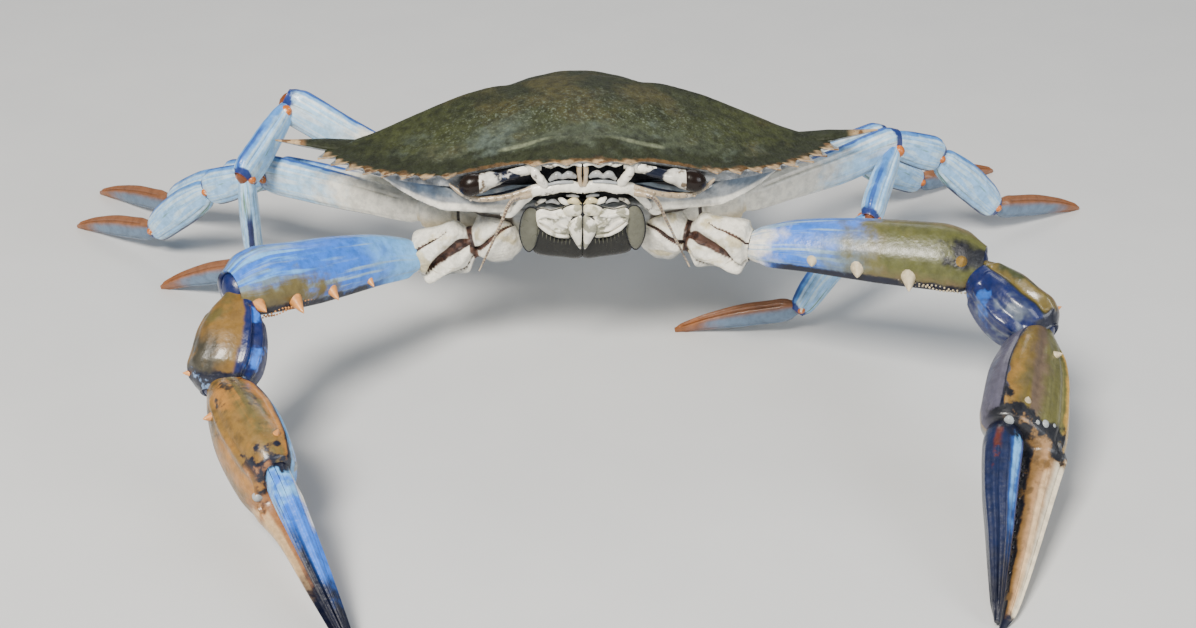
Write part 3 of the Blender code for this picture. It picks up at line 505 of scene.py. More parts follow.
def add_spine(piece, base, tip, radius, curve=(0, 0, 0), sides=14, rows=9, marks=None, blunt=0.06, pale=1.0):
    """A spine from base to tip, thick at its root, bent by curve at its middle and paler towards its tip."""
    base, tip, curve = (np.array(v, float) for v in (base, tip, curve))
    direction = (tip - base) / np.linalg.norm(tip - base)
    circle = ring_around(direction, (0, 0, 1) if abs(direction[2]) < 0.8 else (0, 1, 0), sides)
    share = np.linspace(0, 1, rows)
    thickness = radius * ((1 - share) ** 0.85 * (1 - blunt) + blunt)
    thickness[-1] *= 0.5
    middle = base + (tip - base) * share[:, None] + curve * (4 * share * (1 - share))[:, None]
    grid = middle[:, None] + thickness[:, None, None] * circle[None]
    piece.add_grid(grid, {**(marks or {}), "tip": (pale * share**0.7)[:, None]})


def profile_at(profile, share):
    return [float(curve[0]) for curve in table_curves(profile, [share])]


def on_surface(profile, length, side, share, degrees):
    """The middle of a segment at a share, the point of its surface at an angle, and the way out there."""
    half_width, half_height, forward, up = profile_at(profile, share)
    turn = math.radians(degrees)
    outward = np.array((0, -side * math.cos(turn), math.sin(turn)))
    middle = np.array((share * length, -side * forward, up))
    surface = middle + np.array((0, outward[1] * half_width, outward[2] * half_height))
    return middle, surface, outward


# Materials

class Sheet:
    """A material's node tree, with short ways to add what the shells need."""

    def __init__(self, name):
        self.material = bpy.data.materials.new(name)
        self.material.use_nodes = True
        self.nodes = self.material.node_tree.nodes
        self.links = self.material.node_tree.links
        self.shader = self.nodes["Principled BSDF"]
        self.place = self.nodes.new("ShaderNodeTexCoord").outputs["Object"]

    def put(self, target, value):
        if isinstance(value, bpy.types.NodeSocket):
            self.links.new(value, target)
        elif isinstance(value, tuple) and len(value) == 3 and target.type == "RGBA":
            target.default_value = (*value, 1)
        else:
            target.default_value = value

    def mark(self, name):
        node = self.nodes.new("ShaderNodeAttribute")
        node.attribute_name = name
        return node.outputs["Fac"]

    def math(self, operation, first, second=0.0):
        node = self.nodes.new("ShaderNodeMath")
        node.operation = operation
        self.put(node.inputs[0], first)
        self.put(node.inputs[1], second)
        return node.outputs[0]

    def noise(self, scale, detail=3.0, roughness=0.55):
        node = self.nodes.new("ShaderNodeTexNoise")
        self.links.new(self.place, node.inputs["Vector"])
        node.inputs["Scale"].default_value = scale
        node.inputs["Detail"].default_value = detail
        node.inputs["Roughness"].default_value = roughness
        return node.outputs["Fac"]

    def streaks(self, across, detail=3.0):
        """Noise drawn out along a segment, fine across it."""
        place = self.nodes.new("ShaderNodeCombineXYZ")
        for k, (name, factor) in enumerate((("along", 2.5), ("front", across), ("upper", across))):
            self.put(place.inputs[k], self.math("MULTIPLY", self.mark(name), factor))
        node = self.nodes.new("ShaderNodeTexNoise")
        self.links.new(place.outputs[0], node.inputs["Vector"])
        node.inputs["Scale"].default_value = 1.0
        node.inputs["Detail"].default_value = detail
        return node.outputs["Fac"]

    def cells(self, scale, smooth=0.6):
        node = self.nodes.new("ShaderNodeTexVoronoi")
        node.feature = "SMOOTH_F1"
        self.links.new(self.place, node.inputs["Vector"])
        node.inputs["Scale"].default_value = scale
        node.inputs["Smoothness"].default_value = smooth
        return node.outputs["Distance"]

    def ramp(self, value, start, end, low=0.0, high=1.0):
        """A value that goes smoothly from low at start to high at end."""
        node = self.nodes.new("ShaderNodeMapRange")
        node.interpolation_type = "SMOOTHSTEP"
        if start > end:
            start, end, low, high = end, start, high, low
        self.put(node.inputs["Value"], value)
        for name, number in (("From Min", start), ("From Max", end), ("To Min", low), ("To Max", high)):
            node.inputs[name].default_value = number
        return node.outputs["Result"]

    def mix(self, first, second, factor):
        node = self.nodes.new("ShaderNodeMix")
        node.data_type = "RGBA"
        self.put(node.inputs["Factor"], factor)
        self.put(node.inputs[6], first)
        self.put(node.inputs[7], second)
        return node.outputs[2]

    def scaled(self, colour, factor):
        """A colour made darker or lighter."""
        node = self.nodes.new("ShaderNodeVectorMath")
        node.operation = "SCALE"
        self.put(node.inputs[0], colour)
        self.put(node.inputs["Scale"], factor)
        return node.outputs[0]

    def bump(self, height, distance, strength=1.0):
        node = self.nodes.new("ShaderNodeBump")
        node.inputs["Strength"].default_value = strength
        node.inputs["Distance"].default_value = distance
        self.links.new(height, node.inputs["Height"])
        return node.outputs["Normal"]


def zone(colour, ragged, **ranges):
    """A colour laid over a shell, how ragged its edge is, and for each mark where it starts and is full.

    For spots and streaks it is where the noise starts and is full, and then the noise's own settings.
    """
    return colour, ragged, ranges


COAT_ROUGHNESS = 0.12


def shell(
    name, base, zones, roughness=(0.3, 0.5), grain=0.00008, grain_size=1500, coat=0.2, mottle=0.3, shine=0.5
):
    """A shell: a base colour, zones laid over it one by one, then mottling, fine grain and a wet gloss."""
    sheet = Sheet(name)
    wobble = sheet.math("SUBTRACT", sheet.noise(220, 4), 0.5)
    colour = base
    for tone, ragged, ranges in zones:
        shift = sheet.math("MULTIPLY", wobble, ragged)
        mask = None
        for mark, (start, end) in ranges.items():
            if mark == "spots":
                part = sheet.ramp(sheet.noise(*end), *start)
            elif mark == "streaks":
                part = sheet.ramp(sheet.streaks(*end), *start)
            else:
                part = sheet.ramp(sheet.math("ADD", sheet.mark(mark), shift), start, end)
            mask = part if mask is None else sheet.math("MULTIPLY", mask, part)
        colour = sheet.mix(colour, tone, mask)
    shade = sheet.math("MULTIPLY", sheet.ramp(sheet.noise(420, 5, 0.6), 0.35, 0.7), mottle)
    darker = sheet.math("SUBTRACT", 1.0, shade)
    lighter = sheet.math("MULTIPLY", sheet.ramp(sheet.noise(900, 3), 0.55, 0.8), mottle * 0.6)
    dimples = sheet.math("MULTIPLY", sheet.cells(grain_size * 0.6), -0.6)
    height = sheet.math("ADD", sheet.noise(grain_size, 4), dimples)
    for socket, value in (
        ("Base Color", sheet.scaled(colour, sheet.math("ADD", darker, lighter))),
        ("Roughness", sheet.ramp(sheet.noise(600, 4), 0.3, 0.7, *roughness)),
        ("Metallic", 0.0),
        ("Coat Weight", coat),
        ("Coat Roughness", COAT_ROUGHNESS),
        ("Specular IOR Level", shine),
        ("Normal", sheet.bump(height, grain)),
    ):
        sheet.put(sheet.shader.inputs[socket], value)
    return sheet.material


# Limbs

# Spines of the claws: share of the length, angle round the segment, height, radius of the root.
CLAW_SPINES = {
    "left": {
        "merus": ((0.3, 40, 2.8, 2.3), (0.5, 33, 3.4, 2.8), (0.72, 30, 5.0, 2.6), (0.94, 88, 2.8, 2.0)),
        "carpus": ((0.86, 186, 2.6, 1.9),),
        "propodus": ((0.1, 190, 2.2, 1.8), (0.32, 150, 2.0, 1.9)),
    },
    "right": {
        "merus": ((0.35, 28, 2.8, 1.6), (0.57, 30, 4.2, 2.1), (0.77, 30, 4.8, 2.3), (0.96, 46, 3.2, 2.1)),
        "carpus": ((0.88, 172, 2.4, 1.9),),
        "propodus": ((0.1, 176, 2.0, 1.8), (0.31, 76, 1.8, 2.0)),
    },
}

# Ridges and grooves of the segments: angle round the segment, width, height, start and end.
HIP_RIDGES = (
    (100, 12, 0.5, 0.44, 1.0), (-35, 12, 0.5, 0.44, 1.0), (120, 12, 0.5, 0.0, 0.33),
    (-60, 14, 0.6, 0.0, 0.33), (190, 14, 0.5, 0.44, 1.0),
)
MERUS_RIDGES = (
    (2, 7, 0.9, 0.05, 1.0), (345, 7, -0.5, 0.1, 0.96), (180, 12, 0.6, 0.1, 1.0),
    (55, 16, -0.3, 0.3, 0.95), (318, 9, 0.5, 0.1, 1.0),
)
FINGER_RIDGES = (
    (90, 7, 0.5, 0.44, 0.98), (128, 6, -0.55, 0.45, 0.95), (160, 7, 0.45, 0.44, 0.98),
    (195, 6, -0.4, 0.46, 0.95), (50, 6, -0.55, 0.45, 0.95), (20, 7, 0.45, 0.44, 0.98),
)
WRIST_AND_HAND_RIDGES = {
    "left": {
        "carpus": (
            (125, 6, 0.8, 0.1, 1.0), (108, 6, -0.8, 0.1, 0.95), (88, 6, 0.8, 0.15, 1.0),
            (65, 7, -0.6, 0.2, 0.95), (45, 7, 0.7, 0.2, 1.0), (15, 8, -0.5, 0.2, 0.95),
            (350, 8, 0.6, 0.2, 1.0),
        ),
        "propodus": (
            (121, 5, 0.8, 0.04, 0.36), (111, 5, -0.6, 0.04, 0.36), (176, 5, 0.45, 0.04, 0.36),
            (168, 4, -0.4, 0.06, 0.34), (212, 6, 0.6, 0.04, 1.0), (203, 5, -0.4, 0.04, 0.9),
            (160, 5, -0.35, 0.42, 0.95), (20, 8, 0.5, 0.05, 1.0), (60, 9, -0.4, 0.06, 0.34),
        ),
    },
    "right": {
        "carpus": (
            (62, 6, 0.8, 0.1, 1.0), (47, 6, -0.7, 0.1, 0.95), (30, 6, 0.7, 0.15, 1.0),
            (12, 6, -0.5, 0.2, 0.95), (352, 7, 0.6, 0.2, 1.0), (170, 8, 0.5, 0.2, 1.0),
            (110, 12, -0.3, 0.3, 0.9),
        ),
        "propodus": (
            (62, 5, 0.8, 0.04, 0.37), (52, 5, -0.6, 0.04, 0.37), (160, 6, 0.7, 0.04, 1.0),
            (172, 5, -0.5, 0.05, 0.95), (10, 8, 0.5, 0.05, 1.0), (112, 10, -0.35, 0.06, 0.3),
            (88, 9, 0.25, 0.06, 0.3), (140, 6, -0.35, 0.44, 0.95),
        ),
    },
}
LEG_RIDGES = (
    (90, 7, 0.5, 0.02, 1.0), (270, 7, 0.5, 0.02, 1.0), (48, 7, -0.5, 0.1, 0.97),
    (132, 7, -0.5, 0.1, 0.97), (20, 18, 0.3, 0.05, 1.0), (160, 18, 0.3, 0.05, 1.0),
    (312, 8, -0.35, 0.1, 0.97), (228, 8, -0.35, 0.1, 0.97),
)

# Rows of granules on a claw's arm: start, end, count, angle, size and how far the row drifts round.
MERUS_BEADS = ((0.08, 0.98, 60, 9, 0.3, 6), (0.12, 0.95, 46, 18, 0.26, 10), (0.2, 0.97, 26, 172, 0.34, 0))

# Pale knobs where the movable finger hinges: share, angle, radius.
HINGE_KNOBS = {
    "left": ((0.35, 196, 0.7), (0.362, 182, 1.1), (0.372, 170, 0.7), (0.388, 128, 1.2)),
    "right": ((0.375, 30, 1.5), (0.4, 168, 1.2)),
}

# Folds across the hips' front: share and angle of the start and of the end, half width at both, depth.
HIP_FOLDS = (
    (0.4, 48, 1.0, -24, 32, 4, 2.8), (0.4, -18, 1.0, -62, 3, 9, 1.2), (-0.12, 66, 0.36, 0, 4, 12, 1.4),
    (0.6, 84, 1.03, 48, 3, 6, 0.8), (0.4, 232, 1.03, 250, 8, 8, 0.8),
)
HIP_WAIST = 0.38
SPINE_LEAN = 0.35
# Teeth of the fingers: number, first and last share, distance from the middle at which they are full size.
FINGER_TEETH = 16
TEETH_FROM = 0.47
TEETH_TO = 0.9
TOOTH_FULL_AT = 5.0
KNUCKLE_RINGS = 16
KNUCKLE_SIDES = 28
KNUCKLE_FILLS = 0.88
FRINGE = 1.3
# A knob's rings: share of its radius, height as a share of it.
DOME = ((0.9, -0.5), (1.0, 0.0), (0.85, 0.5), (0.5, 0.85), (0.12, 0.99))


def surface_marks(share, degrees):
    turn = math.radians(degrees)
    return {"along": share, "upper": math.sin(turn), "front": math.cos(turn)}


def knob(piece, centre, outward, radius, marks=None, sides=8):
    """A small dome."""
    outward = outward / np.linalg.norm(outward)
    circle = ring_around(outward, (1, 0, 0) if abs(outward[0]) < 0.8 else (0, 1, 0), sides)
    rings = [centre + outward * radius * high + circle * radius * wide for wide, high in DOME]
    piece.add_grid(np.array(rings), {"tip": 0.35, **(marks or {})})


def set_spines(piece, spines, profile, length, side):
    for share, degrees, height, radius in spines:
        middle, surface, outward = on_surface(profile, length, side, share, degrees)
        tip = surface + outward * height + np.array((height * SPINE_LEAN, 0, 0))
        base = middle + (surface - middle) * 0.6
        curve = -0.12 * height * outward
        add_spine(piece, base, tip, radius * 1.25, curve, marks=surface_marks(share, degrees))


def set_beads(piece, profile, length, side, start, end, count, degrees, size, drift):
    """A row of granules along a segment, each a low rounded knob sunk in the shell."""
    for k in range(count):
        share = start + (end - start) * (k + 0.5) / count
        turn = degrees + drift * (k / count - 0.5) + 3 * math.sin(7.1 * k)
        _, surface, outward = on_surface(profile, length, side, share, turn)
        radius = size * (0.85 + 0.3 * abs(math.sin(3.7 * k + degrees)))
        marks = {**surface_marks(share, turn), "tip": 0.5}
        knob(piece, surface - outward * radius * 0.35, outward, radius, marks)


def set_hinge_knobs(piece, knobs, profile, length, side):
    for share, degrees, radius in knobs:
        _, surface, outward = on_surface(profile, length, side, share, degrees)
        marks = {"along": share, "tip": 0.9}
        knob(piece, surface - outward * radius * 0.6, outward, radius * 1.15, marks, 16)


def set_joint_knobs(piece, profile, length, side, radius):
    """The two coloured knobs at the end of a leg's segment, on which the next one hinges."""
    for degrees in (0, 180):
        _, surface, outward = on_surface(profile, length, side, 0.99, degrees)
        centre = surface - outward * radius * 0.3 + np.array((0.3, 0, 0))
        knob(piece, centre, outward, radius, {"along": 0.9, "tip": 1.0}, 14)


def set_teeth(piece, profile, length, side, rise, offset):
    """Rounded teeth along the closing edge of a finger, larger ones among smaller."""
    for k in range(FINGER_TEETH):
        share = TEETH_FROM + (TEETH_TO - TEETH_FROM) * (k + offset) / FINGER_TEETH
        _, half_height, forward, up = profile_at(profile, share)
        edge = np.array((share * length, -side * forward, up + rise * half_height))
        size = 1.0 if k % 3 == 1 else 0.6
        size *= (1 - 0.35 * k / FINGER_TEETH) * min(1.0, abs(up) / TOOTH_FULL_AT + 0.2)
        base = edge - np.array((0, 0, rise * 0.9))
        tip = edge + np.array((0.3, 0, rise * 0.7 * size))
        marks = {"along": share, "upper": float(rise)}
        radius = 0.75 * (1 + size)
        add_spine(piece, base, tip, radius, sides=10, rows=7, marks=marks, blunt=0.3, pale=0.25)


def set_fringe(piece, profile, length, side, start, count):
    """Fine hairs along both edges of a swimming leg's flat segment."""
    for degrees in (0, 180):
        for k in range(count):
            share = start + (0.97 - start) * (k + 0.5) / count
            _, surface, outward = on_surface(profile, length, side, share, degrees)
            tip = surface + outward * FRINGE * (0.8 + 0.4 * abs(math.sin(5.3 * k))) + np.array((0.9, 0, 0))
            add_spine(piece, surface - outward * 0.4, tip, 0.14, sides=5, rows=4, marks={"tip": 0.35})


def folded(grid, marks, folds):
    """A segment's points and marks with folds pressed in; a fold's floor is marked as joint."""
    angle = np.degrees(np.arctan2(marks["upper"], marks["front"]))
    along = marks["along"]
    pressed = np.zeros(grid.shape[:2])
    floor = np.zeros(grid.shape[:2])
    for start, start_angle, end, end_angle, first_width, last_width, depth in folds:
        share = np.clip((along - start) / (end - start), 0, 1)
        apart = (angle - start_angle - (end_angle - start_angle) * share + 180) % 360 - 180
        width = first_width + (last_width - first_width) * share
        window = band(along, start - 0.02, start, end, end + 0.02)
        shape = np.exp(-((apart / width) ** 4)) * window
        pressed += depth * shape - 0.4 * depth * window * bell(apart + width, -9, 9)
        floor = np.maximum(floor, shape)
    reach = grid - grid.mean(axis=1, keepdims=True)
    reach[..., 0] = 0
    size = np.linalg.norm(reach, axis=-1, keepdims=True) + 1e-6
    moved = grid - reach / size * np.minimum(pressed[..., None], 0.5 * size)
    return moved, {**marks, "joint": np.maximum(marks["joint"], 0.8 * fade(floor, 0.42, 0.85))}


def with_waist(marks):
    """The marks of a hip, its joint darkened."""
    return {**marks, "joint": np.maximum(marks["joint"], bell(marks["along"], HIP_WAIST, 0.035))}


def add_knuckle(piece, length, bend, end_profile):
    """The rounded dark joint that fills the open end of a segment."""
    share = np.linspace(-1, 1, KNUCKLE_RINGS)[:, None]
    wide = np.sqrt(np.clip(1 - share**2, 0.004, 1))
    angle = turn_angles(KNUCKLE_SIDES)
    half_width, half_height = (KNUCKLE_FILLS * half for half in end_profile)
    grid = np.stack([
        length * 1.005 + np.broadcast_to(share * 0.75 * half_height, (KNUCKLE_RINGS, KNUCKLE_SIDES)),
        bend[0] + wide * half_width * np.cos(angle),
        bend[1] + wide * half_height * np.sin(angle),
    ], axis=-1)
    piece.add_grid(grid, {"joint": 1.0, "along": 1.0})


def build_claw(side_name, looks):
    side = 1 if side_name == "left" else -1
    chain = limb_chain(LIMBS["claw"], side_name)
    faces = CLAW_FACES[side_name]
    palm_slimness, finger_slimness = FINGER_SLIMNESS[side_name]
    chela = slimmed(CHELA, palm_slimness, FINGER_NARROWNESS[side_name])
    finger = slimmed(FINGER, finger_slimness, FINGER_NARROWNESS[side_name])
    ridges = {"hip": HIP_RIDGES, "merus": MERUS_RIDGES, **WRIST_AND_HAND_RIDGES[side_name]}
    profiles = (HIP_CLAW, MERUS_CLAW, CARPUS_CLAW, chela)
    for k, name in enumerate(CLAW_SEGMENTS):
        start, direction, length = chain[k]
        profile = profiles[k]
        placed = Matrix.Translation(SHIFT) @ segment_frame(start, direction, faces[k])
        bend = joint_bend(chain, k, faces, 0.5 * profile[-2][1])
        piece = Piece(f"claw_{name}_{side_name}_shell")
        hand = name == "propodus"
        rings = 190 if hand else 110
        grid, marks = segment_grid(profile, length, side, bend, rings, 120, 2.5, ridges[name], not hand)
        if name == "hip":
            grid, marks = folded(grid, with_waist(marks), HIP_FOLDS)
            grid = grid + 0.22 * noise_at(grid, 0.35, 6)[..., None] * np.array((0.3, 1, 1))
        piece.add_grid(grid, marks)
        if not hand:
            add_knuckle(piece, length, bend, profile[-1][1:3])
        set_spines(piece, CLAW_SPINES[side_name].get(name, ()), profile, length, side)
        if name == "merus":
            for row in MERUS_BEADS:
                set_beads(piece, profile, length, side, *row)
        if hand:
            set_hinge_knobs(piece, HINGE_KNOBS[side_name], profile, length, side)
            set_teeth(piece, profile, length, side, 1, 0.0)
        piece.finish(placed, looks[name], [f"claw_{name}_{side_name}"])
    piece = Piece(f"claw_dactyl_{side_name}_shell")
    piece.add_grid(*segment_grid(finger, length, side, (0, 0), 110, 96, 2.3, FINGER_RIDGES, False))
    set_teeth(piece, finger, length, side, -1, 0.5)
    piece.finish(placed, looks["dactyl"], [f"claw_dactyl_{side_name}"])


LEG_PROFILES = {
    "leg": (HIP_LEG, MERUS_LEG, CARPUS_LEG, PROPODUS_LEG, DACTYL_LEG),
    "swimmer": (HIP_SWIMMER, SWIMMER_LINK, SWIMMER_LINK, SWIMMER_BLADE, PADDLE),
}


def build_leg(limb_name, side_name, looks):
    side = 1 if side_name == "left" else -1
    chain = limb_chain(LIMBS[limb_name], side_name)
    faces = ((0, 0, 1),) * len(chain)
    swims = limb_name == "swimmer"
    for k, name in enumerate(SWIMMER_SEGMENTS if swims else LEG_SEGMENTS):
        start, direction, length = chain[k]
        profile = LEG_PROFILES["swimmer" if swims else "leg"][k]
        placed = Matrix.Translation(SHIFT) @ segment_frame(start, direction, faces[k])
        bend = joint_bend(chain, k, faces, 0.5 * profile[-2][1])
        piece = Piece(f"{limb_name}_{name}_{side_name}_shell")
        flat = swims and name in ("propodus", "paddle")
        squareness = 2.0 if flat else 2.7
        ridges = () if name == "hip" else LEG_RIDGES
        last = k == len(chain) - 1
        grid, marks = segment_grid(profile, length, side, bend, 80, 64, squareness, ridges, not last)
        piece.add_grid(grid, with_waist(marks) if name == "hip" else marks)
        if flat:
            set_fringe(piece, profile, length, side, 0.15, 46)
        if not last:
            add_knuckle(piece, length, bend, profile[-1][1:3])
        if name in ("merus", "carpus", "propodus"):
            set_joint_knobs(piece, profile, length, side, 0.8 if swims else 1.8 if name == "merus" else 1.3)
        piece.finish(placed, looks[name], [f"{limb_name}_{name}_{side_name}"])


# Carapace

# Teeth of the front edge: distance from the middle, length, lean outwards.
FRONT_TEETH = ((4.2, 2.6, 0.0), (12.4, 2.3, 0.3))
FRONT_TOOTH_HALF = 3.4
SIDE_TOOTH_RISE = 0.34
SIDE_TOOTH_LEAN = (0.12, -0.28)
ORBIT_DEPTH = 0.055

# Rises and hollows of the back: place, reach across and along, height. Each is mirrored.
REGIONS = (
    (0, -12, 17, 12, 0.5), (34, 2, 17, 13, 0.8), (0, 17, 9, 7, 0.5), (14, 26, 9, 6, 0.25),
    (52, -4, 9, 7, 0.3), (18, 6, 4, 12, -0.6), (24, -12, 3.5, 8, -0.55), (10, 10, 6, 2.5, -0.4),
    (9, 22, 3, 7, -0.3), (8, -31, 6, 3, 0.4), (0, 12, 24, 24, -1.3),
)
# Fine lines across the back: place on the middle line and reach to each side.
ARCH_Y = -28.6
CROSS_LINES = ((ARCH_Y, 24), (-17, 15), (-5, 11))
# The turned-under margin: share of the way out, share of the teeth, height over the margin line.
UNDER_RINGS = ((1.0, 1.0, 0.42), (0.99, 0.8, -0.15), (0.975, 0.45, -0.5), (0.955, 0.0, -0.62))
SEAM_HEIGHT = -4.9
SIDE_SPINE_RINGS = 40
SIDE_SPINE_SIDES = 24


def margin_height(x):
    """Height of the margin at a distance from the middle."""
    return table_curves(MARGIN_LINE, np.abs(x))[0]


def arc_point(share):
    a, b, c = np.array(ORBIT_OUTER), np.array(ARC_CONTROL), np.array(ARC_END)
    share = np.asarray(share, float)[..., None]
    return a * (1 - share) ** 2 + b * (2 * share * (1 - share)) + c * share**2


def arc_outward(share):
    step = arc_point(np.minimum(1, share + 0.01)) - arc_point(np.maximum(0, share - 0.01))
    outward = np.stack([step[..., 1], -step[..., 0]], axis=-1)
    return outward / np.linalg.norm(outward, axis=-1, keepdims=True)


def points_along(places, count):
    """Evenly spread points on a smooth curve through the given ones."""
    places = np.array(places)
    along = np.cumsum(np.r_[0, np.linalg.norm(np.diff(places, axis=0), axis=1)])
    at = np.linspace(0, along[-1], count)
    return np.stack([smooth_curve(along, places[:, k], at) for k in (0, 1)], axis=-1)


def front_edge():
    places = points_along(FRONT_POINTS, 130)
    reach = np.zeros_like(places)
    for tooth_x, length, lean in FRONT_TEETH:
        shape = np.clip(1 - np.abs(places[:, 0] - tooth_x) / FRONT_TOOTH_HALF, 0, 1) ** 1.15
        reach += shape[:, None] * np.array((lean, -length))
    return places, reach


def side_edge():
    share = np.linspace(0, 1, SIDE_TEETH * 26 + 1)[1:]
    cell = np.minimum(share * SIDE_TEETH, SIDE_TEETH - 1e-6)
    number, inside = np.floor(cell), cell % 1
    rising = np.clip(inside / SIDE_TOOTH_RISE, 0, 1) ** 0.8
    falling = np.clip((1 - inside) / (1 - SIDE_TOOTH_RISE), 0, 1) ** 1.5
    height = np.minimum(rising, falling) * SIDE_TOOTH_LENGTH * (0.9 + 0.05 * number)
    return arc_point(share), (arc_outward(share) + np.array(SIDE_TOOTH_LEAN)) * height[:, None]


def half_outline():
    """Points from the middle of the front to the middle of the back, and how far teeth stand out at each."""
    rear = points_along(BACK_POINTS, 110)
    parts = (front_edge(), side_edge(), (rear, np.zeros_like(rear)))
    return [np.concatenate(rows) for rows in zip(*parts)]


def full_outline():
    mirror = np.array((-1, 1))
    return (np.concatenate([half, (half * mirror)[-2:0:-1]]) for half in half_outline())


def relief(x, y):
    """How far the back stands above its plain dome."""
    total = np.zeros_like(x)
    for cx, cy, rx, ry, height in REGIONS:
        for mirrored in (-1, 1) if cx else (1,):
            total += height * bell(x, mirrored * cx, rx) * bell(y, cy, ry)
    bow = -9 - 0.0035 * x**2 + 0.0000011 * x**4
    total += 0.22 * bell(y, bow, 0.9) * band(np.abs(x), 20, 34, 66, 74)
    for line_y, reach in CROSS_LINES:
        total += 0.28 * bell(y, line_y + 0.006 * x**2, 0.8) * (1 - fade(np.abs(x), reach - 3, reach + 2))
    return total


def pale_arch(x, y):
    """The pale line across the front of the back, faint in its middle."""
    x = np.abs(x)
    line = bell(y, ARCH_Y + 0.002 * x**2, 0.75) * (1 - fade(x, 20, 25))
    return 0.2 * line * (0.45 + 0.55 * fade(x, 7, 14))


def build_carapace(look):
    smooth, reach = full_outline()
    centre = np.array((0, CARAPACE_CENTRE_Y))
    across = np.abs(smooth[:, 0])
    facing = fade(-smooth[:, 1], 20, 28)
    edge = margin_height(across)
    steepness = 1.05 + 0.65 * np.minimum(1.0, across / 66) ** 2
    toothed = np.linalg.norm(reach, axis=1)
    rings, along, tips = [], [], []
    top = np.r_[np.linspace(0.02, 0.9, 62), np.linspace(0.915, 1.0, 16)]
    for share in top:
        out, lip = fade(share, 0.955, 1.0), fade(share, 0.985, 1.0)
        calm = 1 - fade(share, 0.86, 0.98)
        flat = centre + (smooth - centre) * share + reach * out
        height = edge + (CARAPACE_TOP - edge) * (1 - share * share) ** steepness + MARGIN_THICKNESS / 2
        height = height + relief(*flat.T) * calm - 0.07 * toothed * out - 0.3 * lip
        surface = np.c_[flat, height]
        surface[:, 2] += noise_at(surface, 0.9, 3) * 0.07 + noise_at(surface, 0.16, 5) * 0.12 * calm
        rings.append(surface)
        along.append(share)
        brow = 0.75 * (1 - fade(across, 14, 17)) * facing * lip
        tips.append(np.maximum.reduce([out * np.clip(toothed / 2.0, 0.25, 1), brow, pale_arch(*flat.T)]))
    for share, out, drop in UNDER_RINGS:
        flat = centre + (smooth - centre) * share + reach * out
        rings.append(np.c_[flat, edge + drop + 0.08 * toothed])
        along.append(2 - share)
        tips.append(np.full(len(smooth), 0.6 * out))
    hollow = (1 - fade(across, 33, 37)) * facing
    wall = UNDER_RINGS[-1][0]
    foot = edge - 1.2
    levels = (edge - 0.75, edge - 1.0, foot, (foot + SEAM_HEIGHT) / 2, np.full(len(edge), SEAM_HEIGHT))
    for share, level in zip((0.2, 0.6, 1.0, 1.0, 1.0), levels):
        flat = centre + (smooth - centre) * (wall - ORBIT_DEPTH * hollow * share)[:, None]
        rings.append(np.c_[flat, level])
        along.append(1.3)
        tips.append(np.zeros(len(smooth)))
    grid = np.array(rings)
    # The wall under the front margin, between and under the eyes, is marked for black painted shade.
    dark = np.zeros(grid.shape[:2])
    dark[-len(levels):] = hollow
    marks = {
        "joint": dark,
        "along": np.array(along)[:, None],
        "tip": np.array(tips),
        "upper": (np.arange(len(rings)) < len(top))[:, None] * 1.0,
        "front": np.clip(-grid[..., 1] / 36, -1, 1),
    }
    piece = Piece("carapace_shell")
    piece.add_grid(grid, marks)
    for side in (1, -1):
        add_side_spine(piece, side)
    piece.finish(BODY, look, ["carapace"])


def add_side_spine(piece, side):
    """The long spine at the side, flattened, its root spread into the margin."""
    start, tip = np.array((SIDE_BASE_X - 9, 0.4, -2.3)), np.array((SPINE_TIP_X, 0.0, 0.0))
    share = np.linspace(0, 1, SIDE_SPINE_RINGS)
    half_depth = np.interp(share, (0, 0.4, 0.55, 0.75, 1), (4.4, 3.9, 2.5, 1.4, 0.22))[:, None]
    half_height = np.interp(share, (0, 0.4, 0.6, 1), (1.5, 1.5, 1.15, 0.22))[:, None]
    angle = turn_angles(SIDE_SPINE_SIDES)
    middle = start + (tip - start) * share[:, None]
    middle[:, 1] -= 0.8 * np.sin(np.pi * share)
    grid = np.stack([
        side * np.broadcast_to(middle[:, 0:1], (SIDE_SPINE_RINGS, SIDE_SPINE_SIDES)),
        middle[:, 1:2] + half_depth * np.cos(angle),
        middle[:, 2:3] + half_height * np.sin(angle),
    ], axis=-1)
    marks = {"along": 0.98, "upper": (np.sin(angle) > -0.2) * 1.0, "tip": fade(share, 0.35, 0.95)[:, None]}
    piece.add_grid(grid, marks)


# Face, mouth and underside

BREAST_HALF = 27.0
THORAX_TOP = -4.4
THORAX_BOTTOM = -26.2
# Height, and share of the way in from the carapace's edge to the breastplate.
THORAX_LEVELS = (
    (-26.2, 1.0), (-23.0, 1.0), (-17.5, 0.93), (-13.0, 0.55), (-9.5, 0.26), (-7.0, 0.12), (-4.6, 0.0),
)
UNDERCUT = 1.2
CHEEK_TURN = 0.1
MOUTH_BACK_Y = -28.8
MOUTH_MIDDLE_Z = -15.0
MOUTH_LEAN = 0.3
MOUTH_DROP = 1.6
# Half width of the mouth's opening by height.
MOUTH_WALL = ((-30, 15.5), (-24, 17.0), (-16, 17.6), (-11, 16.6), (-8, 13.5), (-6.2, 8.0), (-5.0, 0.5))
# Height of the cheek's white lower edge, and of the dark line under the eye, by distance from the middle.
CHEEK_EDGE = (
    (0, -12.0), (17, -12.2), (21, -12.5), (31, -12.3), (38, -12.6), (44, -11.4), (51, -9.3), (58, -6.8),
    (70, -5),
)
EYE_LINE = (
    (0, -4.6), (14, -5.0), (21, -6.8), (27, -8.0), (30, -8.2), (33, -7.2), (36, -5.4), (40, -4.4),
    (70, -4.4),
)
FRONT_HALF_ANGLE = 1.25
BREAST_GROOVES = 5


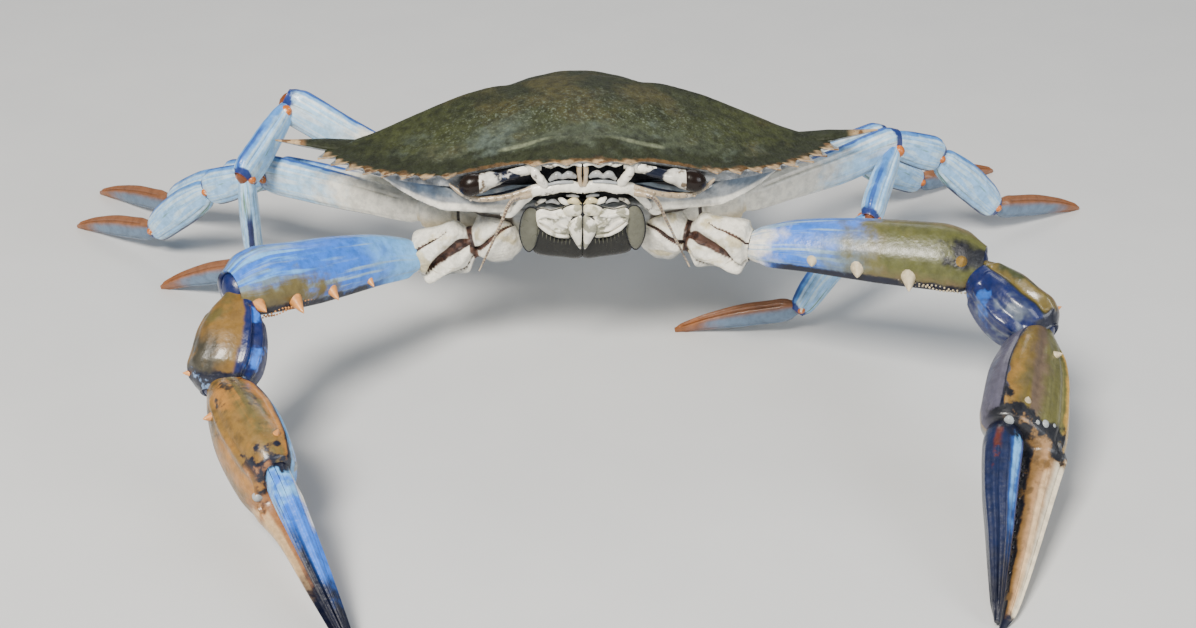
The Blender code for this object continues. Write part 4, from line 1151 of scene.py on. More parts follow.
def outline_towards(angle):
    """Where the margin, without its teeth, is met by lines from the middle at these angles."""
    half, _ = half_outline()
    bearing = np.arctan2(half[:, 1], half[:, 0])
    mirrored = np.arctan2(np.sin(angle), np.abs(np.cos(angle)))
    distance = np.interp(mirrored, bearing, np.linalg.norm(half, axis=1))
    return circle_points(angle) * distance[:, None]


def circle_points(angle):
    return np.stack([np.cos(angle), np.sin(angle)], axis=-1)


def body_lines(x):
    """Heights of the cheek's edge and of the line under the eye."""
    return [table_curves(line, np.abs(x))[0] for line in (CHEEK_EDGE, EYE_LINE)]


def thorax_surface():
    """Rings of the body under the carapace from its seam down, then in over the breastplate."""
    start, end = -np.pi / 2 - FRONT_HALF_ANGLE, -np.pi / 2 + FRONT_HALF_ANGLE
    angle = np.r_[np.linspace(start, end, 320), np.linspace(end, 2 * np.pi + start, 120)[1:-1]]
    rim = outline_towards(angle) * 0.93
    breast = BREAST_HALF * circle_points(angle)
    turn = 1 + UNDERCUT * fade(np.sin(angle) + 0.7, 0, 1)
    reach = np.abs(rim[:, 0])
    cheek = band(reach, 13, 19, 56, 66) * fade(-rim[:, 1], 4, 14)
    edge, _ = body_lines(reach)
    rings = []
    for z in np.linspace(THORAX_TOP, THORAX_BOTTOM + 0.6, 84):
        share = min(1.0, float(table_curves(THORAX_LEVELS, [z])[0][0]))
        turned = 1 - (1 - share) ** turn
        over = CHEEK_TURN * np.clip((THORAX_TOP - z) / (THORAX_TOP - edge), 0, 1)
        below = np.clip((edge - z) / (edge + 23), 0, 1) ** 0.5
        turned = turned * (1 - cheek) + (over + (1 - CHEEK_TURN) * below) * cheek
        shrink = 1 - 0.16 * float(fade(-z, 21.5, 26.5)) ** 1.5
        flat = (rim * (1 - turned[:, None]) + breast * turned[:, None]) * shrink
        rings.append(np.c_[flat, np.full(len(flat), z)])
    last = rings[-1]
    for share in np.linspace(0.97, 0.04, 34):
        ring = last * np.array((share, share, 1.0))
        ring[:, 2] = THORAX_BOTTOM + 0.6 * fade(share, 0.9, 1.0)
        rings.append(ring)
    return np.array(rings)


def breast_grooves(x, y):
    across = np.abs(x)
    grooves = np.zeros_like(x)
    for k in range(BREAST_GROOVES):
        place = -14 + 7.0 * k + 0.012 * x**2 * (1 if k > 1 else -0.4)
        grooves += bell(y, place, 0.55) * fade(across, 3.5, 6)
    return grooves + 1.4 * bell(x, 0, 0.6)


def carve_front(grid):
    """Opens the mouth, swells the cheeks and draws the breastplate's grooves, and gives the marks as well."""
    x, y, z = grid[..., 0], grid[..., 1], grid[..., 2]
    across = np.abs(x)
    facing = fade(-y, 8, 20)
    half_mouth = table_curves(MOUTH_WALL, np.clip(z, -30, -5))[0]
    inside = (1 - fade(across, half_mouth - 0.9, half_mouth + 0.3)) * fade(-z, 5.6, 6.6) * facing
    back = MOUTH_BACK_Y + MOUTH_LEAN * (MOUTH_MIDDLE_Z - z) + 2.4 * (1 - fade(-z, 9.5, 12))
    depth = np.maximum(0, back - y) * inside
    edge, eye_line = body_lines(x)
    side = band(across, 15, 20, 56, 64) * facing
    swell = 0.7 * bell(z, edge + 0.6, 1.0) * side
    swell += 0.8 * bell(across, 27, 8) * bell(z, eye_line - 2.4, 1.6) * side
    line = bell(z, eye_line, 0.35) * band(across, 13, 16, 39, 43) * facing
    y = y + depth - swell + 0.9 * line
    grooves = breast_grooves(x, y) * fade(-z, 25.4, 26.1)
    z = z + 0.55 * grooves
    # The body above the orbit's lower lip, under the eye, is marked for black painted shade, and so is the
    # floor of the mouth's opening.
    orbit_shade = fade(z, eye_line + 1.2, eye_line + 2.4) * band(across, 13, 15, 33, 36) * facing
    marks = {
        "joint": np.clip(inside * fade(depth, 1.0, 3.0) + orbit_shade, 0, 1),
        "tip": np.clip(line + 0.5 * grooves, 0, 1),
        "along": bell(z, edge + 0.4, 1.8) * side,
        "upper": np.clip((z + 26) / 20, 0, 1),
        # front marks the painted shadow under the cheek's white edge.
        "front": fade(edge - z, 1.0, 3.5) * side * fade(across, 17, 20),
    }
    return np.stack([x, y, z], axis=-1), marks


def build_body(look):
    grid, marks = carve_front(thorax_surface())
    grid[..., 1] += 0.1 * noise_at(grid, 0.35, 2)
    piece = Piece("body_shell")
    piece.add_grid(grid, marks)
    piece.finish(BODY, look, ["thorax"])


def rounded(padded, at):
    """A rounded curve read at each value of at. padded has one value more before 0 and two after the last."""
    k = np.floor(at).astype(int)
    t = at - k
    a, b, c, d = padded[k], padded[k + 1], padded[k + 2], padded[k + 3]
    return 0.5 * (2 * b + (c - a) * t + (2 * a - 5 * b + 4 * c - d) * t**2 + (3 * b - a - 3 * c + d) * t**3)


def path_points(path, count):
    """Points along a rounded curve through the given ones, evenly spread by their number."""
    table = np.array(path, float)
    after = 2 * table[-1] - table[-2]
    padded = np.concatenate([[2 * table[0] - table[1]], table, [after, after]])
    at = np.linspace(0, len(table) - 1, count)
    return np.stack([rounded(column, at) for column in padded.T], axis=-1)


BAR_SUNK = 0.6
PLATE_POINTS = 56


def add_bar(piece, path, radii, side=1, sides=12, count=40, flat=1.0, marks=None):
    """A tube along a curve. flat squeezes it front to back."""
    points = path_points(path, count) * np.array((side, 1, 1)) + np.array((0, BAR_SUNK, 0))
    size = smooth_curve(np.linspace(0, 1, len(radii)), radii, np.linspace(0, 1, count))
    step = np.gradient(points, axis=0)
    step /= np.linalg.norm(step, axis=1, keepdims=True)
    across = np.cross(step, np.array((0, 1.0, 0)))
    across /= np.linalg.norm(across, axis=1, keepdims=True) + 1e-9
    up = np.cross(step, across)
    angle = turn_angles(sides)[None, :, None]
    circle = across[:, None] * np.cos(angle) + flat * up[:, None] * np.sin(angle)
    grid = points[:, None] + size[:, None, None] * circle
    uneven = 1 + 0.16 * noise_at(grid, 0.7, 9) + 0.1 * noise_at(grid, 1.9, 4)
    piece.add_grid(points[:, None] + (size[:, None] * uneven)[..., None] * circle, marks)


def add_plate(piece, outline, place, thickness, rings=9, dome=0.5, marks=None):
    """A domed plate. place turns two coordinates of the outline and a height above it into a point."""
    corners = np.array(outline, float)
    count = len(corners)
    padded = np.concatenate([corners[-1:], corners, corners[:2]])
    at = np.linspace(0, count, PLATE_POINTS, endpoint=False)
    edge = np.stack([rounded(column, at) for column in padded.T], axis=-1)
    middle = edge.mean(axis=0)
    shares = np.linspace(1.0, 0.03, rings)
    grid = []
    for share, height in ((1.0, -1.5), *((share, (1 - share**2.2) ** dome) for share in shares)):
        flat = middle + (edge - middle) * share
        grid.append([place(u, v, height * thickness) for u, v in flat])
    piece.add_grid(np.array(grid), marks)


def mouth_place(side, base=0.0):
    """Turns places across and up, and a height over base, into points before the mouth's back wall."""
    def place(u, v, height):
        v = v - MOUTH_DROP
        back = MOUTH_BACK_Y + MOUTH_LEAN * (MOUTH_MIDDLE_Z - v) - 1.6
        return (side * u, back - base - height, v)
    return place


# Marks that give a bar or plate of the face its colour.
WHITE_MARKS = {"along": 0.0, "upper": 1.0}
SHADED_MARKS = {"along": 0.1, "upper": 1.0}
TAN_MARKS = {"along": 0.2, "upper": 1.0}
GREY_MARKS = {"along": 0.42}
YELLOW_MARKS = {**WHITE_MARKS, "tip": 1.0}

OVAL = (
    (12.4, -9.8), (14.6, -9.0), (16.3, -11.8), (16.9, -16.4), (16.2, -20.6), (14.6, -22.6), (12.9, -20.6),
    (11.9, -15.4),
)
UPPER_PLATE = (
    (2.9, -10.2), (5.2, -9.2), (8.4, -9.9), (11.2, -9.2), (13.0, -11.0), (12.4, -14.2), (9.2, -17.0),
    (5.2, -18.6), (3.0, -18.0), (2.4, -14.0),
)
LOWER_PLATE = (
    (0.16, -18.6), (4.6, -19.0), (8.8, -17.4), (12.2, -15.0), (13.1, -19.0), (12.9, -23.6), (6.0, -25.1),
    (0.16, -25.2),
)
PALP_LEAF = (
    (0.25, -11.6), (1.8, -11.8), (3.7, -13.6), (3.9, -15.8), (2.5, -19.0), (0.5, -22.0), (0.22, -17.0),
)
PALP_KNEE = ((0.4, -8.2), (2.8, -8.0), (5.2, -9.2), (4.9, -11.2), (2.4, -11.5), (0.5, -11.0))
# The plates with a near-black rim behind them, painted shade in the gaps between plates: outline, height of
# the base, thickness, marks.
MOUTH_PLATES = (
    (OVAL, 1.0, 0.9, {"along": 0.6, "upper": 0.4}),
    (UPPER_PLATE, 1.1, 1.1, WHITE_MARKS),
    (PALP_KNEE, 1.5, 1.1, {**WHITE_MARKS, "tip": 0.16}),
    (PALP_LEAF, 1.8, 1.3, WHITE_MARKS),
)
PLATE_RIM = 0.4
# Folds on each upper plate: along its upper rim, across it, and along its lower rim.
UPPER_FOLDS = (
    ((4.6, -11.2), (7.4, -11.4), (10.2, -10.9), (12.2, -12.0)),
    ((11.9, -12.4), (9.4, -13.6), (7.2, -15.6), (4.6, -16.2)),
    ((12.0, -13.6), (9.4, -16.0), (6.4, -17.4), (3.8, -17.6)),
    ((7.4, -11.6), (6.4, -13.6), (4.2, -14.8)),
)
MOUTH_HAIRS = 9


def widened(outline):
    """An outline moved outwards by the width of its rim, short of the middle line."""
    rim = np.array(outline)
    outward = rim - rim.mean(axis=0)
    rim = rim + PLATE_RIM * outward / np.linalg.norm(outward, axis=1, keepdims=True)
    rim[:, 0] = np.maximum(rim[:, 0], 0.12)
    return rim


def build_mouth(side, side_name, look):
    piece = Piece(f"maxilliped_{side_name}_plates")
    place = mouth_place(side)
    # The lower plates are painted near black: painted shade.
    add_plate(piece, LOWER_PLATE, place, 1.1, marks={"along": 0.9, "upper": 0.0})
    for outline, base, thickness, marks in MOUTH_PLATES:
        rim_place = mouth_place(side, base - 0.15)
        add_plate(piece, widened(outline), rim_place, 0.05, rings=4, marks={"along": 0.9, "joint": 1.0})
        add_plate(piece, outline, mouth_place(side, base), thickness, dome=0.6, marks=marks)
    for path in UPPER_FOLDS:
        bar = np.array([place(u, v, 2.15) for u, v in path]) - (0, BAR_SUNK, 0)
        add_bar(piece, bar, (0.35, 0.6, 0.55, 0.3), sides=10, count=30, marks=WHITE_MARKS)
    for k in range(MOUTH_HAIRS):
        root = np.array(place(3.4 + 1.05 * k, -18.9 + 0.052 * k * k, 1.2))
        tip = root + np.array((0.2 * side, -0.5, -1.5))
        add_spine(piece, root, tip, 0.16, sides=5, rows=4, marks={"along": 0.7})
    piece.finish(BODY, look, [f"maxilliped_{side_name}"])


BROW = (
    (0, -35.0, -4.9), (2.6, -35.4, -4.0), (6.0, -35.4, -3.9), (9.0, -35.2, -4.8), (12.6, -34.8, -5.0),
    (15.4, -34.0, -7.4), (17.6, -32.6, -10.6), (19.6, -30.8, -13.2), (22.0, -29.4, -13.4),
)
LIP = (
    (13.6, -35.0, -4.6), (17, -35.3, -5.6), (21, -35.2, -6.6), (25, -34.8, -7.2), (29, -34.0, -7.2),
    (32.6, -32.8, -6.0), (35.6, -31.6, -3.8),
)
MIDDLE_RIDGE = ((0.9, -36.0, 1.6), (0.8, -36.3, -1.2), (0.5, -35.6, -3.6))
ANTENNULE = (
    (1.8, -35.9, -1.2), (3.6, -36.5, -0.2), (5.4, -36.3, -0.9), (7.0, -36.5, -0.4), (8.8, -35.6, -2.0),
)
HEM = (
    (0.4, -35.9, 1.9), (2.4, -36.2, 2.7), (4.4, -36.2, 1.9), (6.4, -36.2, 2.7), (8.6, -36.0, 1.9),
    (11.0, -35.8, 2.6),
)
PIT_FLOOR = ((2.6, -36.2, -2.4), (6.2, -36.4, -2.4), (9.6, -35.8, -3.2))
ANTENNA_ROOT = ((10.0, -35.4, -3.4), (11.4, -36.4, -1.4), (12.6, -36.8, 0.6), (12.8, -36.0, 2.0))
ORBIT_LOBE = ((13.4, -35.6, 1.6), (16.2, -36.0, 0.9), (19.6, -35.4, 0.6))
# Bars of the face: path, half widths along it, sides, points, flatness and marks.
FACE_BARS = (
    (BROW, (1.2, 1.6, 1.5, 1.5, 1.7, 1.3, 1.0, 0.8, 0.4), 16, 90, 0.7, WHITE_MARKS),
    (LIP, (0.9, 0.8, 0.75, 0.8, 0.75, 0.65, 0.4), 12, 60, 0.9, TAN_MARKS),
    (MIDDLE_RIDGE, (0.8, 0.6, 0.7), 10, 20, 1, {"along": 0.3, "upper": 0.6}),
    (ANTENNULE, (0.5, 1.0, 0.7, 1.0, 0.5), 12, 40, 0.9, {"along": 0.42, "upper": 0.5}),
    (HEM, (0.5, 0.55, 0.5, 0.55, 0.5, 0.4), 10, 50, 1, SHADED_MARKS),
    (PIT_FLOOR, (0.4, 0.5, 0.35), 10, 24, 1, {"along": 0.5, "upper": 0.3}),
    (ANTENNA_ROOT, (1.1, 1.3, 1.2, 0.7), 14, 26, 1, WHITE_MARKS),
    (ORBIT_LOBE, (0.8, 1.1, 0.5), 12, 24, 1, SHADED_MARKS),
)
# Small lobes over the mouth: path, half widths along it, marks.
MOUTH_LOBES = (
    (((0.5, -33.4, -9.8), (2.2, -33.9, -8.4), (4.0, -33.4, -8.9)), (0.5, 0.95, 0.5), YELLOW_MARKS),
    (((3.6, -33.0, -9.9), (5.2, -33.5, -8.6), (6.4, -32.9, -8.0)), (0.5, 0.85, 0.35), WHITE_MARKS),
    (((6.2, -32.6, -9.6), (8.0, -32.9, -8.7), (9.8, -32.2, -9.3)), (0.35, 0.6, 0.3), GREY_MARKS),
    (((1.0, -33.6, -7.4), (2.6, -33.8, -7.0), (4.4, -33.2, -7.2)), (0.3, 0.5, 0.3), GREY_MARKS),
    (((9.8, -32.0, -8.6), (11.4, -32.2, -9.0), (12.6, -31.6, -10.2)), (0.3, 0.6, 0.4), WHITE_MARKS),
)
LIP_BEADS = 8


def build_face(look):
    """The ridges and lobes between the eyes, over the mouth and under the eyes."""
    piece = Piece("face_ridges")
    for side in (1, -1):
        for path, widths, sides, count, flat, marks in FACE_BARS:
            add_bar(piece, path, widths, side, sides, count, flat, marks)
        for k in range(LIP_BEADS):
            start = np.array((side * (14.5 + 2.2 * k), -36.0 + 0.03 * k * k, -4.6 - 0.62 * k + 0.035 * k * k))
            knob(piece, start, np.array((0, -1.0, 0.35)), 0.42, TAN_MARKS)
        for path, widths, marks in MOUTH_LOBES:
            add_bar(piece, path, widths, side, 12, 26, 0.8, marks)
    piece.finish(BODY, look, ())


# The eye and its stalk: share of the length, half depth, half height, and 1 where it is glassy.
EYE_PROFILE = (
    (-0.06, 0.9, 0.9, 0), (0.0, 1.2, 1.2, 0), (0.12, 1.4, 1.3, 0), (0.3, 1.3, 1.3, 0),
    (0.48, 1.5, 1.5, 0), (0.62, 2.1, 2.1, 0), (0.72, 2.5, 2.6, 0), (0.77, 2.5, 2.7, 0.1),
    (0.79, 2.45, 2.7, 1), (0.83, 2.6, 3.0, 1), (0.9, 2.7, 3.1, 1), (0.97, 2.45, 2.8, 1),
    (1.02, 1.9, 2.1, 1), (1.06, 1.1, 1.2, 1), (1.075, 0.3, 0.3, 1),
)
EYE_RINGS = 56
EYE_SIDES = 36


def build_eye(side, side_name, look):
    shares = spread(EYE_PROFILE[0][0], EYE_PROFILE[-1][0], EYE_RINGS, 0.4)
    half_depth, half_height, glassy = table_curves(EYE_PROFILE, shares)
    angle = turn_angles(EYE_SIDES)
    grid = []
    for share, depth, high in zip(shares, half_depth, half_height):
        x, y, z = eye_place(share)
        x += 1.5 * fade(share, 0.3, 0.9)
        z += 1.6 * (1 - fade(share, 0.0, 0.6)) - 0.9 * fade(share, 0.4, 0.9)
        stalk = 1 - fade(share, 0.66, 0.74)
        lumps = 1 + 0.16 * stalk * np.sin(19 * share + 2 * angle) * np.cos(11 * share - angle)
        depths, heights = depth * lumps * np.cos(angle), high * lumps * np.sin(angle)
        grid.append(np.c_[np.full(EYE_SIDES, side * x), y - 0.4 + depths, z + heights])
    piece = Piece(f"eye_{side_name}_ball")
    piece.add_grid(np.array(grid), {"joint": glassy[:, None], "along": shares[:, None]})
    piece.finish(BODY, look, [f"eye_{side_name}"])


ANTENNA_PATH = (
    (14.0, -36.3, -5.6), (19.0, -39.0, -6.6), (22.0, -41.5, -12.0), (25.0, -43.5, -18.0),
    (28.0, -44.5, -24.0),
)
ANTENNA_BEADS = 26


def build_antenna(side, side_name, look):
    piece = Piece(f"antenna_{side_name}_hair")
    add_bar(piece, ANTENNA_PATH, (1.05, 0.62, 0.4, 0.32, 0.2), side, 10, 90, 1, {"along": 0.3, "upper": 0.8})
    places = path_points(ANTENNA_PATH, 200)
    for k in range(ANTENNA_BEADS):
        share = 0.15 + 0.8 * k / ANTENNA_BEADS
        place = places[int(share * 199)] * np.array((side, 1, 1))
        knob(piece, place, np.array((0.3 * side, -1.0, 0.1)), 0.42 - 0.2 * share, {"along": 0.7})
    piece.finish(BODY, look, [f"antenna_{side_name}"])


# The apron's joints: place along the body and half width.
APRON_JOINTS = (
    (20.5, 13.0), (16.0, 12.4), (11.5, 10.0), (7.0, 4.4), (2.0, 3.6), (-4.0, 3.0), (-9.0, 1.4),
)
APRON_SURFACE = THORAX_BOTTOM - 1.25


def build_apron(look):
    """The narrow tail of a male, its segments domed and a little apart."""
    piece = Piece("apron_plates")

    def place(u, v, height):
        return (u, v, APRON_SURFACE - height)

    for (y, half), (end_y, end_half) in zip(APRON_JOINTS, APRON_JOINTS[1:]):
        narrow = end_half + (half - end_half) * 0.3
        start_row = ((-half * 0.97, y - 0.2), (0, y - 0.1), (half * 0.97, y - 0.2))
        end_row = ((narrow, end_y + 0.4), (0, end_y + 0.15), (-narrow, end_y + 0.4))
        add_plate(piece, start_row + end_row, place, 0.85, dome=0.35, marks={"along": 0.1, "upper": 0.9})
    piece.finish(BODY, look, ["apron"])


# Camera, floor and light

FLOOR_HALF = 3.0


def build_stage():
    mesh = bpy.data.meshes.new("floor")
    corners = [(FLOOR_HALF * x, FLOOR_HALF * y, 0) for x, y in ((-1, -1), (1, -1), (1, 1), (-1, 1))]
    mesh.from_pydata(corners, [], [(0, 1, 2, 3)])
    floor = bpy.data.objects.new("floor", mesh)
    bpy.context.scene.collection.objects.link(floor)
    sheet = Sheet("floor_paint")
    tone = sheet.mix((0.60, 0.61, 0.62), (0.66, 0.67, 0.67), sheet.noise(30, 3))
    sheet.put(sheet.shader.inputs["Base Color"], tone)
    sheet.shader.inputs["Roughness"].default_value = 0.75
    mesh.materials.append(sheet.material)


def add_light(name, place, target, size, power, colour=(1, 1, 1)):
    data = bpy.data.lights.new(name, "AREA")
    data.shape = "RECTANGLE"
    data.size, data.size_y = size
    data.energy = power
    data.color = colour
    lamp = bpy.data.objects.new(name, data)
    bpy.context.scene.collection.objects.link(lamp)
    lamp.location = place
    lamp.rotation_euler = (Vector(target) - Vector(place)).to_track_quat("-Z", "Y").to_euler()


def build_camera():
    data = bpy.data.cameras.new("camera")
    camera = bpy.data.objects.new("camera", data)
    bpy.context.scene.collection.objects.link(camera)
    camera.location = (Vector(CAMERA_PLACE) + SHIFT) * MM
    camera.rotation_euler = (math.radians(90) - CAMERA_DOWN, 0, 0)
    data.sensor_width = 36
    data.lens = CAMERA_LENS
    data.clip_start = 0.01
    bpy.context.scene.camera = camera


def build_light():
    world = bpy.data.worlds.new("studio")
    bpy.context.scene.world = world
    world.use_nodes = True
    background = world.node_tree.nodes["Background"]
    background.inputs["Color"].default_value = (0.82, 0.86, 0.92, 1)
    background.inputs["Strength"].default_value = 0.27
    add_light("key", (-0.35, -0.75, 0.95), (0, -0.02, 0.04), (0.36, 0.36), 28, (1, 0.95, 0.87))
    add_light("fill", (0.8, -0.6, 0.5), (0, 0, 0.04), (0.6, 0.4), 5, (0.93, 0.96, 1))
    add_light("rear", (0.1, 0.9, 0.9), (0, 0, 0.06), (0.8, 0.4), 3)


# Looks

DARK_JOINT = zone((0.03, 0.016, 0.012), 0.2, joint=(0.2, 0.7))
BLUE_JOINT = zone(BLUE_DEEP, 0.2, joint=(0.2, 0.7))
NAVY = (0.003, 0.005, 0.02)
PALE_TIP = zone(CREAM, 0.1, tip=(0.3, 0.6))
ORANGE_TIP = zone((0.78, 0.33, 0.09), 0.1, tip=(0.25, 0.6))
HINGE_KNOB = zone((0.36, 0.39, 0.40), 0.1, tip=(0.6, 0.8), along=(0.33, 0.345))
GREY_UNDERSIDE = zone(GREY, 0.5, upper=(-0.5, -0.9))
# Black painted shade in hollows: on the wall under the carapace's front margin, in the orbits and deep in the
# mouth's opening.
HOLLOW_SHADE = zone(BLACK, 0.1, joint=(0.2, 0.7))
MISTY_BLUE = (0.30, 0.48, 0.68)


def right_claw_looks():
    """The crab's right claw: blue upper arm, ochre hand."""
    merus = shell("merus_shell_right", BLUE, (
        zone(BLUE_PALE, 0.5, along=(0.5, 0.05)),
        zone(MISTY_BLUE, 0.9, streaks=((0.5, 0.66), (4, 4))),
        zone((0.20, 0.23, 0.17), 0.6, along=(0.5, 0.8), front=(0.1, 0.6)),
        zone((0.16, 0.125, 0.04), 0.7, along=(0.5, 0.72), front=(0.0, 0.5), spots=((0.28, 0.44), (130, 3))),
        zone((0.18, 0.25, 0.3), 0.9, along=(0.8, 0.97), streaks=((0.42, 0.6), (6, 3)), front=(0.7, 0.3)),
        zone(BLUE_PALE, 0.4, along=(0.5, 0.7), streaks=((0.5, 0.64), (5, 3)), front=(0.5, 0.1)),
        zone(NAVY, 0.15, front=(0.93, 0.985), along=(0.2, 0.4)),
        zone(NAVY, 0.3, upper=(0.1, -0.15), along=(0.2, 0.4)),
        GREY_UNDERSIDE,
        ORANGE_TIP, BLUE_JOINT,
    ), coat=0.15)
    carpus = shell("carpus_shell_right", (0.21, 0.115, 0.024), (
        zone(OLIVE_BROWN, 0.9, spots=((0.5, 0.62), (90, 3))),
        zone((0.05, 0.045, 0.03), 0.5, spots=((0.44, 0.54), (100, 3)), along=(0.4, 0.7), front=(0.15, -0.3)),
        zone(BLUE_DEEP, 0.25, front=(0.22, 0.36)),
        zone(BLUE, 0.8, front=(0.5, 0.8), spots=((0.52, 0.62), (160, 3))),
        zone(BLUE_DEEP, 0.3, upper=(-0.3, -0.6)),
        zone(NAVY, 0.3, along=(0.86, 0.92)),
        # Pale blue specks on the dark band at the hand's joint: painted glints.
        zone((0.20, 0.32, 0.55), 0.5, along=(0.9, 0.94), spots=((0.55, 0.62), (240, 3))),
        ORANGE_TIP, BLUE_JOINT,
    ), coat=0.35)
    propodus = shell("propodus_shell_right", (0.23, 0.13, 0.03), (
        zone((0.42, 0.19, 0.035), 0.9, spots=((0.44, 0.58), (85, 3))),
        zone((0.14, 0.11, 0.035), 0.9, front=(-0.6, -0.2), along=(0.42, 0.2), streaks=((0.38, 0.54), (3, 3))),
        zone((0.055, 0.045, 0.022), 0.9, along=(0.2, 0.05), spots=((0.42, 0.54), (110, 3))),
        zone((0.40, 0.17, 0.03), 0.9, front=(0.05, 0.3), along=(0.4, 0.25)),
        zone((0.045, 0.03, 0.02), 0.6, spots=((0.55, 0.61), (170, 3)), along=(0.3, 0.1)),
        zone(NAVY, 0.3, along=(0.338, 0.365), upper=(0.2, 0.6)),
        zone((0.34, 0.15, 0.055), 0.3, along=(0.38, 0.42)),
        zone((0.62, 0.42, 0.22), 0.3, along=(0.4, 0.46), front=(-0.55, -0.85)),
        zone(NAVY, 0.1, front=(0.38, 0.46), along=(0.42, 0.38)),
        zone(BLUE_PALE, 0.4, front=(0.54, 0.68), along=(0.5, 0.36)),
        zone(BLUE, 0.5, front=(0.85, 1.0), along=(0.5, 0.3)),
        zone((0.17, 0.095, 0.028), 0.4, upper=(-0.1, -0.6), along=(0.42, 0.36)),
        zone(NAVY, 0.25, along=(0.64, 0.76)),
        ORANGE_TIP,
        HINGE_KNOB,
    ), coat=0.3)
    dactyl = shell("dactyl_shell_right", BLUE, (
        zone(BLUE_PALE, 0.5, along=(0.53, 0.42)),
        # A white stripe near the base of the finger: painted highlight.
        zone(WHITE, 0.3, front=(0.55, 0.9), along=(0.62, 0.5)),
        zone(BLUE_DEEP, 0.3, streaks=((0.56, 0.66), (5, 3)), front=(0.4, -0.2)),
        zone((0.25, 0.08, 0.04), 0.1, upper=(-0.6, -0.95)),
        zone(NAVY, 0.3, front=(-0.2, -0.8), along=(0.5, 0.7)),
        zone(NAVY, 0.25, along=(0.68, 0.84)),
        zone(NAVY, 0.2, along=(0.43, 0.4)),
        zone((0.3, 0.2, 0.12), 0.1, tip=(0.3, 0.8), along=(0.8, 0.6)),
    ), coat=0.4)
    return {"merus": merus, "carpus": carpus, "propodus": propodus, "dactyl": dactyl}


